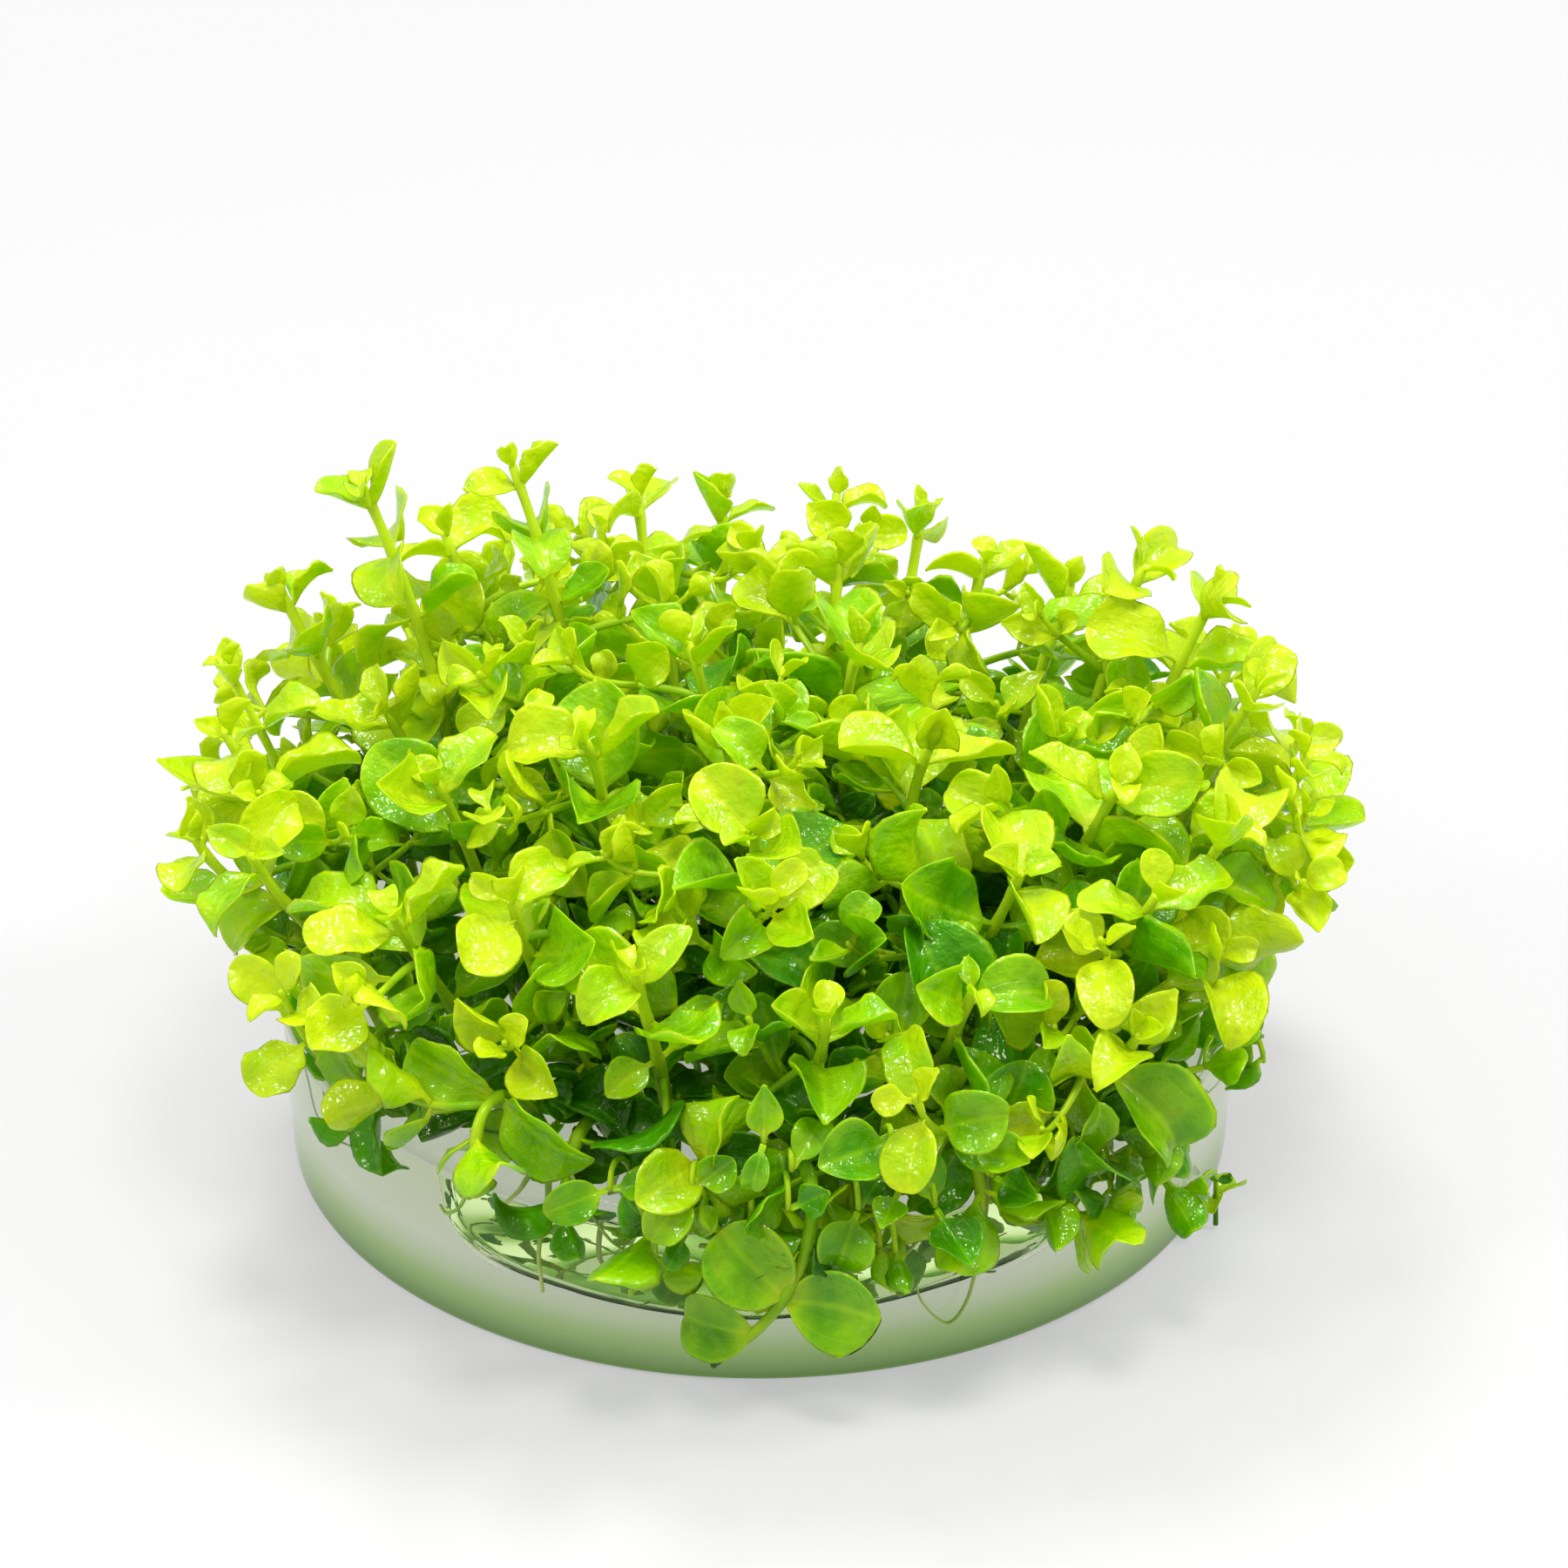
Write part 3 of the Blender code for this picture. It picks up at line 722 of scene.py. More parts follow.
def standing_sprigs():
    """The planned sprigs whose stems stay clear of each other, and the space that they take."""
    taken = []
    sprigs = []
    for sprig in plans():
        shape = shape_of(lambda bm: stem_hull(bm, sprig["route"]))
        if clear_of(shape, [other for _, other in taken]):
            sprig["own"].append(shape)
            taken.append((sprig["name"], shape))
            sprigs.append(sprig)
    return sprigs, taken


def leaf_choices(sprig, rank, side, rng):
    """The leaf of this rank below the tip, then the same leaf turned and shrunk, to try one by one."""
    place, tangent = along(sprig["route"], node_distance(rank))
    turn = sprig["turn"] + sprig["more_turn"] * rank + 180 * side
    wider = rng.uniform(-OPENING_SPREAD, OPENING_SPREAD)
    opening = math.radians(sprig["opening"] + sprig["opening_step"] * rank + wider)
    length = LEAF_LENGTH * NODE_SIZES[rank] * sprig["scale"] * rng.uniform(*LENGTH_SPREAD)
    curl = math.radians(rng.choice(CURLS))
    cup = rng.uniform(*CUPS)
    roll = math.radians(sprig["roll"]) * (1 - 2 * side)
    tried = []
    for shrink in SHRINKS:
        for more in TURNS:
            axes = rolled(leaf_axes(tangent, math.radians(turn + more), opening), roll)
            root = place - axes[0] * LEAF_ROOT - tangent * (LEAF_ROOT * side)
            tried.append((root, axes, length * shrink, curl, cup))
    return tried


def add_leaf(sprig, rank, choices, taken, ground):
    """Gives the sprig the first of these leaves that has room, if any has."""
    others = [ground] + [other for name, other in taken if name != sprig["name"]]
    for leaf in choices:
        whole = shape_of(lambda bm: leaf_blade(bm, leaf, CLEARANCE))
        outer = shape_of(lambda bm: leaf_blade(bm, outer_part(leaf), CLEARANCE))
        if clear_of(whole, others) and clear_of(outer, sprig["own"]):
            sprig["leaves"].append((rank, leaf))
            sprig["own"].append(outer)
            taken.append((sprig["name"], whole))
            return


def sides_with_leaves(sprig, rank):
    """Both sides of the stem, but for the sides where a sprig has lost a leaf of its top pair."""
    return [side for side in (0, 1) if rank > 0 or side not in sprig["bare"]]


def add_leaves(sprigs, taken):
    """Gives every sprig the pairs of leaves that its solid has, the top pairs of them all first."""
    ground = shape_of(ground_hull)
    for rank in range(len(NODE_GAPS)):
        for sprig in sprigs:
            rng = random.Random(f"{sprig['name']} {rank}")
            if rank < sprig["pairs"]:
                for side in sides_with_leaves(sprig, rank):
                    add_leaf(sprig, rank, leaf_choices(sprig, rank, side, rng), taken, ground)


class Room:
    """The space that is taken, as search trees sorted into cells, so that only near ones are tested."""

    def __init__(self):
        self.cells = {}

    def reach(self, shape):
        """The cells that the shape's box touches."""
        _, low, high = shape
        spans = [range(math.floor(low[i] / CELL), math.floor(high[i] / CELL) + 1) for i in range(3)]
        return [(x, y, z) for x in spans[0] for y in spans[1] for z in spans[2]]

    def take(self, owner, shape):
        for cell in self.reach(shape):
            self.cells.setdefault(cell, []).append((owner, shape))

    def is_free(self, shape, without=None):
        """Whether the shape meets nothing in its cells, apart from what one owner has there."""
        near = {}
        for cell in self.reach(shape):
            for owner, other in self.cells.get(cell, ()):
                if owner != without:
                    near[id(other)] = other
        return clear_of(shape, near.values())


def in_box(shape):
    """Whether a shape stays inside the box of the solids, and inside the cushion's slanted flank."""
    _, low, high = shape
    boxed = all(low[i] >= CAD_BOX[0][i] and high[i] <= CAD_BOX[1][i] for i in range(3))
    aside = max(abs(low[0]), abs(high[0]))
    heights, reaches = zip(*SKIRT)
    return boxed and aside <= np.interp((low[2] + high[2]) / 2, heights, reaches)


def slim_blade(bm, leaf):
    """Adds the leaf for a test of room, as thick as the fine leaf is."""
    leaf_blade(bm, leaf, (BLADE_THICKNESS - LEAF_THICKNESS) / 2)


def looks_of(rng, tint):
    """What the leaves of one sprig differ in, beside their size and bend."""
    return {
        "tint": min(1.0, max(0.0, tint + rng.gauss(0.0, TINT_SPREAD))),
        "hook": math.radians(rng.uniform(*HOOKS)),
        "twist": math.radians(rng.gauss(0.0, TWIST_SPREAD)),
        "ripple": rng.uniform(*RIPPLES),
        "fold": rng.uniform(*FOLDS),
        "phase": rng.uniform(0.0, 2 * math.pi),
        "breadth": rng.uniform(*BREADTHS),
        "stalk": rng.uniform(*STALKS),
        "point": rng.choice(POINTS),
    }


def free_leaf(stem, distance, turn, opening, length, rng, room, owner):
    """A leaf at this distance below a stem's tip, where the solids have none, or None without room."""
    place, tangent = along(stem, distance)
    curl = math.radians(rng.choice(CURLS) * rng.uniform(*CURL_SHARES))
    cup = rng.uniform(*CUPS)
    for shrink in FREE_SHRINKS:
        for more in FREE_TURNS:
            axes = leaf_axes(tangent, math.radians(turn + more), math.radians(opening))
            leaf = (place + axes[0] * LEAF_OUTSET * MM, axes, length * shrink, curl, cup)
            shape = shape_of(lambda bm: slim_blade(bm, outer_part(leaf) if length > SMALL_LEAF else leaf))
            if in_box(shape) and room.is_free(shape, owner if length <= SMALL_LEAF else None):
                room.take(owner, shape)
                return leaf
    return None


def free_pair(stem, distance, turn, opening, length, tint, rng, room, owner):
    """The leaves of one pair that find room, with their looks."""
    made = []
    for side in (0, 1):
        size = length * rng.uniform(*PAIR_LENGTHS)
        tilt = opening + rng.uniform(-PAIR_TILT, PAIR_TILT)
        leaf = free_leaf(stem, distance, turn + 180 * side, tilt, size, rng, room, owner)
        if leaf:
            made.append((leaf, looks_of(rng, tint)))
    return made


def on_fine_stem(sprig, leaf, distance):
    """The leaf of the solid, moved from the solid's stem of straight pieces onto the smooth one."""
    origin, axes, length, curl, cup = leaf
    shift = along(sprig["stem"], distance)[0] - along(sprig["route"], distance)[0]
    return origin + shift, axes, length, curl, cup


def growth_and_painted_light_tint(place):
    """Leaves are brightest on top of the cushion and deepest low inside it, partly by age and partly as
    painted light and shade.
    """
    radius = place.xy.length
    # painted shade deep inside the cushion, together with the darker older leaves low down
    depth = (dome_height(radius) - place.z) / (TINT_DEPTH * MM)
    # painted glow near the cushion's edge and at its back, as if light shone through the leaves from behind
    edge = max(0.0, radius / CUSHION_RADIUS - TINT_EDGE_GLOW_FROM) * TINT_EDGE_GLOW
    backlight_glow = max(0.0, place.y / CUSHION_RADIUS) * TINT_BACKLIGHT_GLOW
    return min(1.0, max(0.0, TINT_ON_TOP - TINT_AGE_AND_SHADE_LOSS * depth + edge + backlight_glow))


def main_leaves(sprig, room):
    """All the pairs of leaves on the main stem: the solid's own, a bud above and the lower pairs."""
    rng = random.Random(sprig["name"] + " leaves")
    warmth = rng.gauss(0.0, WARMTH_SPREAD)
    made = []
    for rank, leaf in sprig["leaves"]:
        fine = on_fine_stem(sprig, leaf, node_distance(rank))
        tint = growth_and_painted_light_tint(fine[0]) - TINT_STEP * rank + warmth
        made.append((fine, {**looks_of(rng, tint), **SHOWN_LOOKS.get(sprig["name"], {})}))
    stem = sprig["stem"]
    tip_tint = growth_and_painted_light_tint(stem[-1]) + BUD_TINT + warmth
    bud = LEAF_LENGTH * BUD_SIZE * sprig["scale"]
    across = sprig["turn"] + 90
    made += free_pair(stem, BUD_GAP, across, BUD_OPENING, bud, tip_tint, rng, room, sprig["name"])
    rank = sprig["pairs"]
    distance = node_distance(rank) if rank < len(NODE_GAPS) else node_distance(rank) + LOWER_GAP
    while distance < line_length(stem) - LOWEST_LEAF:
        place = along(stem, distance)[0]
        length = LEAF_LENGTH * sprig["scale"] * rng.uniform(*LOWER_SIZES)
        turn = sprig["turn"] + sprig["more_turn"] * rank
        tint = growth_and_painted_light_tint(place) + warmth
        made += free_pair(stem, distance, turn, LOWER_OPENING, length, tint, rng, room, sprig["name"])
        distance += LOWER_GAP
        rank += 1
    return made


def shoot_tips(start, rng):
    """Places where a side shoot that starts here could end. Those over the front rim may hang."""
    found = []
    least_rise = SHOOT_FALL if start.y < FALL_FROM * MM else SHOOT_RISE[0]
    for _ in range(SHOOT_TRIES):
        angle = rng.uniform(0.0, 2 * math.pi)
        reach = rng.uniform(*SHOOT_REACHES) * MM
        tip = start + at_angle(reach, angle, rng.uniform(least_rise, SHOOT_RISE[1]) * MM)
        radius = tip.xy.length
        inside = radius < CUSHION_RADIUS * SHOOT_EDGE and tip.z < dome_height(radius) + SHOOT_ABOVE * MM
        if inside and (radius > GEL_RADIUS + SHOOT_BESIDE * MM or tip.z > GEL_HEIGHT + SHOOT_OVER * MM):
            found.append(tip)
    return found


def shoot_route(start, tangent, tip):
    """Handles of a side shoot, which leaves its stem at a slant and turns up at its tip."""
    reach = (tip - start).length
    outward = Vector((tip.x - start.x, tip.y - start.y, 0.0)).normalized()
    leaving = (tangent + outward * SHOOT_SLANT).normalized()
    ending = (outward * SHOOT_TURN_UP + UP).normalized()
    return start, start + leaving * SHOOT_PUSH * reach, tip - ending * TIP_PULL * reach, tip


def grow_shoots(sprig, tips, room):
    """Side shoots with small leaves, each towards the emptiest place that it can reach."""
    rng = random.Random(sprig["name"] + " shoots")
    shoots = []
    length = line_length(sprig["stem"])
    for i in range(SHOOTS_PER_SPRIG):
        distance = rng.uniform(*SHOOT_FIRST) * MM + SHOOT_STEP * MM * i
        if distance > length - SHOOT_LAST * MM:
            break
        start, tangent = along(sprig["stem"], distance)
        places = shoot_tips(start, rng)
        if not places:
            continue
        tip = farthest(places, tips)
        stem = route_points(shoot_route(start, tangent, tip), FINE_POINTS // 2)
        hull = shape_of(lambda bm: thin_sleeve(bm, stem[SHOOT_JOINED:]))
        if in_box(hull) and room.is_free(hull):
            room.take(sprig["name"], hull)
            tips.append(tip)
            shoots.append({"stem": stem, "turn": rng.uniform(0, 180), "scale": sprig["scale"]})
    return shoots


def thin_sleeve(bm, route):
    """Adds a loose triangular sleeve round a side shoot, for the tests of room."""
    for low, high in zip(route, route[1:]):
        direction = high - low
        turned = direction.to_track_quat("Z", "Y").to_matrix().to_4x4()
        bmesh.ops.create_cone(
            bm,
            cap_ends=True,
            segments=3,
            radius1=SHOOT_RADIUS,
            radius2=SHOOT_RADIUS,
            depth=direction.length,
            matrix=Matrix.Translation((low + high) / 2) @ turned,
        )


def shoot_leaves(shoot, name, index, room):
    """The pairs of leaves of a side shoot, the smallest at its tip."""
    rng = random.Random(f"{name} shoot {index}")
    warmth = rng.gauss(*SHOOT_WARMTH)
    made = []
    distance = 0.0
    for rank, (gap, size) in enumerate(zip(SHOOT_GAPS, SHOOT_SIZES)):
        distance += gap
        if distance > line_length(shoot["stem"]) - SHOOT_END * MM:
            break
        place = along(shoot["stem"], distance)[0]
        length = LEAF_LENGTH * size * shoot["scale"]
        tint = growth_and_painted_light_tint(place) + SHOOT_TINT - SHOOT_TINT_STEP * rank + warmth
        opening = SHOOT_OPENING + SHOOT_OPENING_STEP * rank
        turn = shoot["turn"] + 90 * rank
        made += free_pair(shoot["stem"], distance, turn, opening, length, tint, rng, room, name)
    return made


def kept_in_box(point):
    """The point, or the nearest one to it inside the box of the solids."""
    return tuple(min(max(value, low), high) for value, low, high in zip(point, *CAD_BOX))


class Form:
    """One mesh that grows from closed bodies, each made of rings of points between two end points."""

    def __init__(self):
        self.points = []
        self.faces = []
        self.maps = []
        self.tints = []
        self.kinds = []

    def add(self, rings, ends, map_points, map_ends, tint, kind):
        """Adds a body. kind is the number of its material."""
        base = len(self.points)
        count, around = len(rings), len(rings[0])
        self.points.extend(kept_in_box(point) for ring in rings for point in ring)
        self.points.extend(kept_in_box(point) for point in ends)
        self.maps.extend(tuple(point) for ring in map_points for point in ring)
        self.maps.extend(map_ends)
        self.tints.extend([tint] * (count * around + 2))
        first, last = base + count * around, base + count * around + 1
        faces = []
        for j in range(around):
            k = (j + 1) % around
            faces.append((first, base + k, base + j))
            for i in range(count - 1):
                low, high = base + i * around, base + (i + 1) * around
                faces.append((low + j, low + k, high + k, high + j))
            top = base + (count - 1) * around
            faces.append((top + j, top + k, last))
        self.faces.extend(faces)
        self.kinds.extend([kind] * len(faces))

    def make(self, name, materials):
        """The finished object, smooth, with its map and its tint."""
        mesh = bpy.data.meshes.new(name)
        mesh.from_pydata(self.points, [], self.faces)
        bm = bmesh.new()
        bm.from_mesh(mesh)
        bmesh.ops.recalc_face_normals(bm, faces=bm.faces)
        bm.to_mesh(mesh)
        bm.free()
        for material in materials:
            mesh.materials.append(material)
        mesh.polygons.foreach_set("material_index", self.kinds)
        mesh.polygons.foreach_set("use_smooth", [True] * len(self.faces))
        corners = np.empty(len(mesh.loops), np.int32)
        mesh.loops.foreach_get("vertex_index", corners)
        mapped = mesh.uv_layers.new(name="blade")
        mapped.data.foreach_set("uv", np.array(self.maps, np.float32)[corners].ravel())
        tint = mesh.attributes.new("tint", "FLOAT", "POINT")
        tint.data.foreach_set("value", self.tints)
        made = bpy.data.objects.new(name, mesh)
        bpy.context.scene.collection.objects.link(made)
        return made


def fine_outline(t, stalk, point):
    """Half the width of a fine leaf, as a share of its widest: a stalk, then a round or acute blade."""
    u = np.clip((t - stalk) / (1.0 - stalk), 0.0, 1.0)
    shape = u**ROOT_POWER * (1.0 - u) ** point
    at_widest = ROOT_POWER / (ROOT_POWER + point)
    return shape / (at_widest**ROOT_POWER * (1.0 - at_widest) ** point)


def spine_of(leaf, hook, times):
    """Points and bend angles along the middle of a leaf whose tip bends on by the hook."""
    origin, (forward, _, upper), length, curl, _ = leaf
    fine = np.linspace(0.0, 1.0, SPINE_STEPS)
    bend = curl * fine + hook * fine**3
    step = length / (len(fine) - 1)
    ahead = np.concatenate([[0.0], np.cumsum((np.cos(bend[1:]) + np.cos(bend[:-1])) / 2 * step)])
    above = np.concatenate([[0.0], np.cumsum((np.sin(bend[1:]) + np.sin(bend[:-1])) / 2 * step)])
    places = np.outer(np.interp(times, fine, ahead), forward) + np.outer(np.interp(times, fine, above), upper)
    return np.array(origin) + places, np.interp(times, fine, bend)


def blade_points(leaf, looks, t, s, body):
    """The rings and two end points of a blade: cupped, creased at its midrib, its rim slightly rippled."""
    _, (forward, across, upper), length, _, cup = leaf
    forward, across, upper = np.array(forward), np.array(across), np.array(upper)
    spine, bend = spine_of(leaf, looks["hook"], np.concatenate([[0.0], t, [1.0]]))
    half = 0.5 * LEAF_BREADTH * looks["breadth"] * length * fine_outline(t, looks["stalk"], looks["point"])
    half = np.maximum(half, STALK_RADIUS)[:, None]
    normal = np.outer(np.cos(bend[1:-1]), upper) - np.outer(np.sin(bend[1:-1]), forward)
    twist = looks["twist"] * t
    side = np.outer(np.cos(twist), across) + normal * np.sin(twist)[:, None]
    normal = normal * np.cos(twist)[:, None] - np.outer(np.sin(twist), across)
    crease = CREASE * np.exp(-((s / CREASE_WIDTH) ** 2))[None, :]
    waves = RIPPLE_WAVES * t[:, None] + looks["phase"] + RIPPLE_SIDES * np.sign(s)[None, :]
    ripple = looks["ripple"] * np.sin(waves)
    lift = half * ((cup + ripple) * (s**2)[None, :] + looks["fold"] * np.abs(s)[None, :] + crease)
    taper = np.minimum(1.0, THIN_TIP + THIN_FROM * (1.0 - t))[:, None]
    lift = lift + body[None, :] * taper
    points = spine[1:-1, None, :] + side[:, None, :] * (half * s[None, :])[:, :, None]
    return points + normal[:, None, :] * lift[:, :, None], (spine[0], spine[-1])


def in_cad_box(points):
    return np.all(points >= CAD_BOX[0]) and np.all(points <= CAD_BOX[1])


def add_blade(form, leaf, looks, rings=BLADE_RINGS, sides=BLADE_SIDES):
    """Adds a leaf as a thin closed blade. One that would leave the solids' box is bent less."""
    t = np.array(rings)
    angle = 2 * np.pi * np.arange(sides) / sides
    s = np.cos(angle)
    thick = BLADE_THICKNESS / 2 * min(1.0, leaf[2] / (FULL_LEAF * MM) + LEAST_FULL)
    body = np.sign(np.sin(angle)) * np.abs(np.sin(angle)) ** EDGE_POWER * thick
    for share in CALMER:
        calmer = {**looks, **{key: looks[key] * share for key in BENDS}}
        points, ends = blade_points(leaf, calmer, t, s, body)
        if in_cad_box(points):
            break
    mapped = np.stack(np.broadcast_arrays(t[:, None], (s[None, :] + 1) / 2), axis=-1)
    form.add(points, ends, mapped, [(0.0, 0.5), (1.0, 0.5)], looks["tint"], 0)


def add_tube(form, points, radii, tint, kind, sides=STEM_SIDES):
    """Adds a round tube along these points, with pointed ends."""
    line = np.array([tuple(point) for point in points])
    ahead = np.gradient(line, axis=0)
    ahead /= np.linalg.norm(ahead, axis=1)[:, None]
    first = np.cross(ahead[0], (0.0, 1.0, 0.0))
    if np.linalg.norm(first) < 0.2:
        first = np.cross(ahead[0], (1.0, 0.0, 0.0))
    angle = 2 * np.pi * np.arange(sides) / sides
    rings = []
    for place, direction, radius in zip(line, ahead, radii):
        first = first - direction * np.dot(first, direction)
        first = first / np.linalg.norm(first)
        second = np.cross(direction, first)
        rings.append(place + radius * (np.outer(np.cos(angle), first) + np.outer(np.sin(angle), second)))
    ends = (line[0] - ahead[0] * radii[0] * 0.5, line[-1] + ahead[-1] * radii[-1] * 0.7)
    share = np.linspace(0.0, 1.0, len(rings))[:, None]
    mapped = np.stack(np.broadcast_arrays(share, (angle / (2 * np.pi))[None, :]), axis=-1)
    form.add(rings, ends, mapped, [(0.0, 0.0), (1.0, 0.0)], tint, kind)


def stem_radii(stem, thick, thin, nodes):
    """The radius at each point of a stem: it tapers to the tip and swells where leaves stand."""
    total = line_length(stem)
    left = total
    radii = []
    for i, point in enumerate(stem):
        if i:
            left -= (point - stem[i - 1]).length
        radius = thick + (thin - thick) * (1.0 - left / total)
        near = min((abs(left - node) for node in nodes), default=1.0)
        radii.append(radius * (1.0 + NODE_BULGE * math.exp(-((near / (BULGE_SPAN * MM)) ** 2))))
    return radii


def node_distances(length):
    """How far below the tip the pairs of leaves stand on a main stem."""
    found = [node_distance(rank) for rank in range(len(NODE_GAPS))]
    while found[-1] + LOWER_GAP < length:
        found.append(found[-1] + LOWER_GAP)
    return found


def grow_sprigs():
    """Every sprig with its smooth stem, its side shoots and all its leaves, all clear of each other."""
    sprigs, taken = standing_sprigs()
    add_leaves(sprigs, taken)
    room = Room()
    room.take("gel_puck", shape_of(ground_hull))
    for owner, shape in taken:
        room.take(owner, shape)
    for sprig in sprigs:
        sprig["stem"] = route_points(sprig["handles"], FINE_POINTS)
    tips = [sprig["stem"][-1] for sprig in sprigs]
    for sprig in sprigs:
        bare = sprig["name"] in SHOWN_LOOKS
        sprig["shoots"] = [] if bare else grow_shoots(sprig, tips, room)
    for sprig in sprigs:
        sprig["all_leaves"] = main_leaves(sprig, room)
    for sprig in sprigs:
        for i, shoot in enumerate(sprig["shoots"]):
            sprig["all_leaves"] += shoot_leaves(shoot, sprig["name"], i, room)
    return sprigs, room


def upright_low(foot, tip, outward):
    """Handles of a small shoot that stands on the gel."""
    middle = foot * LOW_FOOT_SHARE + tip * LOW_TIP_SHARE - outward * LOW_INWARD * MM
    return foot, middle, tip - UP * LOW_UPRIGHT_TIP * MM, tip


def hanging_low(foot, tip, outward):
    """Handles of a small shoot that arches over the gel's rim."""
    over = foot + UP * LOW_ARCH_RISE * MM + outward * LOW_ARCH_OUT * MM
    return foot, over, tip + UP * LOW_HANG_RISE * MM, tip


def low_stems(row, rng, room):
    """The stems of the small shoots of this row that find room."""
    name, hangs, count, radii, angles, reaches, rises, _ = row
    bend = hanging_low if hangs else upright_low
    stems = []
    for _ in range(count):
        radius = rng.uniform(*radii) * MM
        foot = at_angle(radius, math.radians(rng.uniform(*angles)), gel_top(radius) + FOOT_GAP)
        outward = Vector((foot.x, foot.y, 0.0)).normalized()
        tip = foot + outward * rng.uniform(*reaches) * MM + UP * rng.uniform(*rises) * MM
        stem = route_points(bend(foot, tip, outward), FINE_POINTS // 2)
        hull = shape_of(lambda bm: thin_sleeve(bm, stem[1:]))
        if room.is_free(hull):
            room.take(name, hull)
            stems.append(stem)
    return stems


def front_pair(x, z, turn, length, tint, room, rng):
    """A hanging shoot at this x and z in mm in front of the rim, with leaves that face forward."""
    for reach in FRONT_REACHES:
        tip = Vector((x * MM, -math.sqrt(reach**2 - (x * MM) ** 2), z * MM))
        outward = Vector((tip.x, tip.y, 0.0)).normalized()
        foot = outward * FOOT_REACH + UP * (gel_top(FOOT_REACH) + FOOT_GAP)
        stem = route_points(hanging_low(foot, tip, outward), FINE_POINTS // 2)
        leaves = []
        for side, share in enumerate(FRONT_SHARES):
            facing = Vector(FRONT_FACING).normalized()
            turned = math.radians(turn + FRONT_TURN * side)
            axes = leaf_axes(facing, turned, math.radians(FRONT_OPENING))
            curl = math.radians(rng.choice(CURLS))
            cup = rng.uniform(*CUPS)
            leaf = (tip + axes[0] * LEAF_OUTSET * MM, axes, length * share * MM, curl, cup)
            shape = shape_of(lambda bm: slim_blade(bm, leaf))
            if in_box(shape) and room.is_free(shape, "front_pairs"):
                leaves.append((leaf, looks_of(rng, tint), shape))
        if leaves:
            for _, _, shape in leaves:
                room.take("front_pairs", shape)
            return stem, leaves
    return None, []


def make_front_pairs(room, materials):
    """The leaves that hang over the gel's rim in the middle of the front, as one piece."""
    rng = random.Random(FRONT_ARRANGEMENT)
    form = Form()
    for x, z, turn, length, tint in FRONT_PAIRS:
        stem, leaves = front_pair(x, z, turn, length, tint, room, rng)
        for leaf, looks, _ in leaves:
            add_blade(form, leaf, looks)
        if leaves:
            radii = stem_radii(stem, LOW_RADIUS, SHOOT_TIP_RADIUS, [])
            add_tube(form, stem, radii, tint, 1, THIN_SIDES)
    made = form.make("front_pairs", materials)
    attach(made, "root")


def make_low_shoots(row, room, materials):
    """The small shoots of one row, with the leaves that find room, as one piece."""
    name, tint = row[0], row[-1]
    rng = random.Random(name)
    form = Form()
    for stem in low_stems(row, rng, room):
        turn = rng.uniform(0, 180)
        shade = tint + rng.gauss(0.0, TINT_SPREAD)
        distance = 0.0
        for rank, (gap, size) in enumerate(zip(LOW_GAPS, LOW_SIZES)):
            distance += gap
            if distance > line_length(stem) - LOW_END * MM:
                break
            length = LEAF_LENGTH * size * rng.uniform(*LOW_LENGTHS)
            opening = LOW_OPENING + LOW_OPENING_STEP * rank
            around = turn + 90 * rank
            for leaf, looks in free_pair(stem, distance, around, opening, length, shade, rng, room, name):
                add_blade(form, leaf, looks, LOW_RINGS, LOW_SIDES)
        radii = stem_radii(stem, LOW_RADIUS, SHOOT_TIP_RADIUS, [])
        add_tube(form, stem, radii, shade, 1, THIN_SIDES)
    made = form.make(name, materials)
    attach(made, "root")


def make_sprig(sprig, materials):
    """One sprig as one piece, which stands for its solid."""
    form = Form()
    for leaf, looks in sprig["all_leaves"]:
        add_blade(form, leaf, looks)
    stem = sprig["stem"]
    nodes = node_distances(line_length(stem))
    rooted = ([stem[0] - UP * ROOTED] if stem[0].z > GEL_HEIGHT / 2 else []) + stem
    slender = min(1.0, SLENDER_SCALE * sprig["scale"] - SLENDER_LESS)
    radii = stem_radii(rooted, STEM_RADIUS * slender, TIP_RADIUS * slender, nodes)
    # the stem takes the tint of its tip's place, painted light and shade included
    add_tube(form, rooted, radii, growth_and_painted_light_tint(stem[-1]), 1)
    for shoot in sprig["shoots"]:
        radii = stem_radii(shoot["stem"], SHOOT_RADIUS, SHOOT_TIP_RADIUS, [])
        add_tube(form, shoot["stem"], radii, growth_and_painted_light_tint(shoot["stem"][-1]), 1)
    made = form.make(sprig["name"] + "_grown", materials)
    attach(made, "root")
    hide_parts(sprig["name"])


def node(tree, kind, inputs=None, **settings):
    """A shader node. An input is a value or the output of another node."""
    made = tree.nodes.new("ShaderNode" + kind)
    for name, value in settings.items():
        setattr(made, name, value)
    for name, value in (inputs or {}).items():
        if isinstance(value, bpy.types.NodeSocket):
            tree.links.new(value, made.inputs[name])
        else:
            made.inputs[name].default_value = value
    return made


def start_material(name):
    made = bpy.data.materials.new(name)
    made.use_nodes = True
    made.node_tree.nodes.clear()
    return made, made.node_tree


def math_of(tree, operation, first, second=0.0):
    return node(tree, "Math", {0: first, 1: second}, operation=operation).outputs[0]


def ramp_of(tree, value, stops):
    """A colour ramp with these (place, colour) stops."""
    made = node(tree, "ValToRGB", {"Fac": value})
    elements = made.color_ramp.elements
    while len(elements) < len(stops):
        elements.new(0.5)
    for element, (place, colour) in zip(elements, stops):
        element.position = place
        element.color = (*colour, 1.0)
    return made.outputs["Color"]


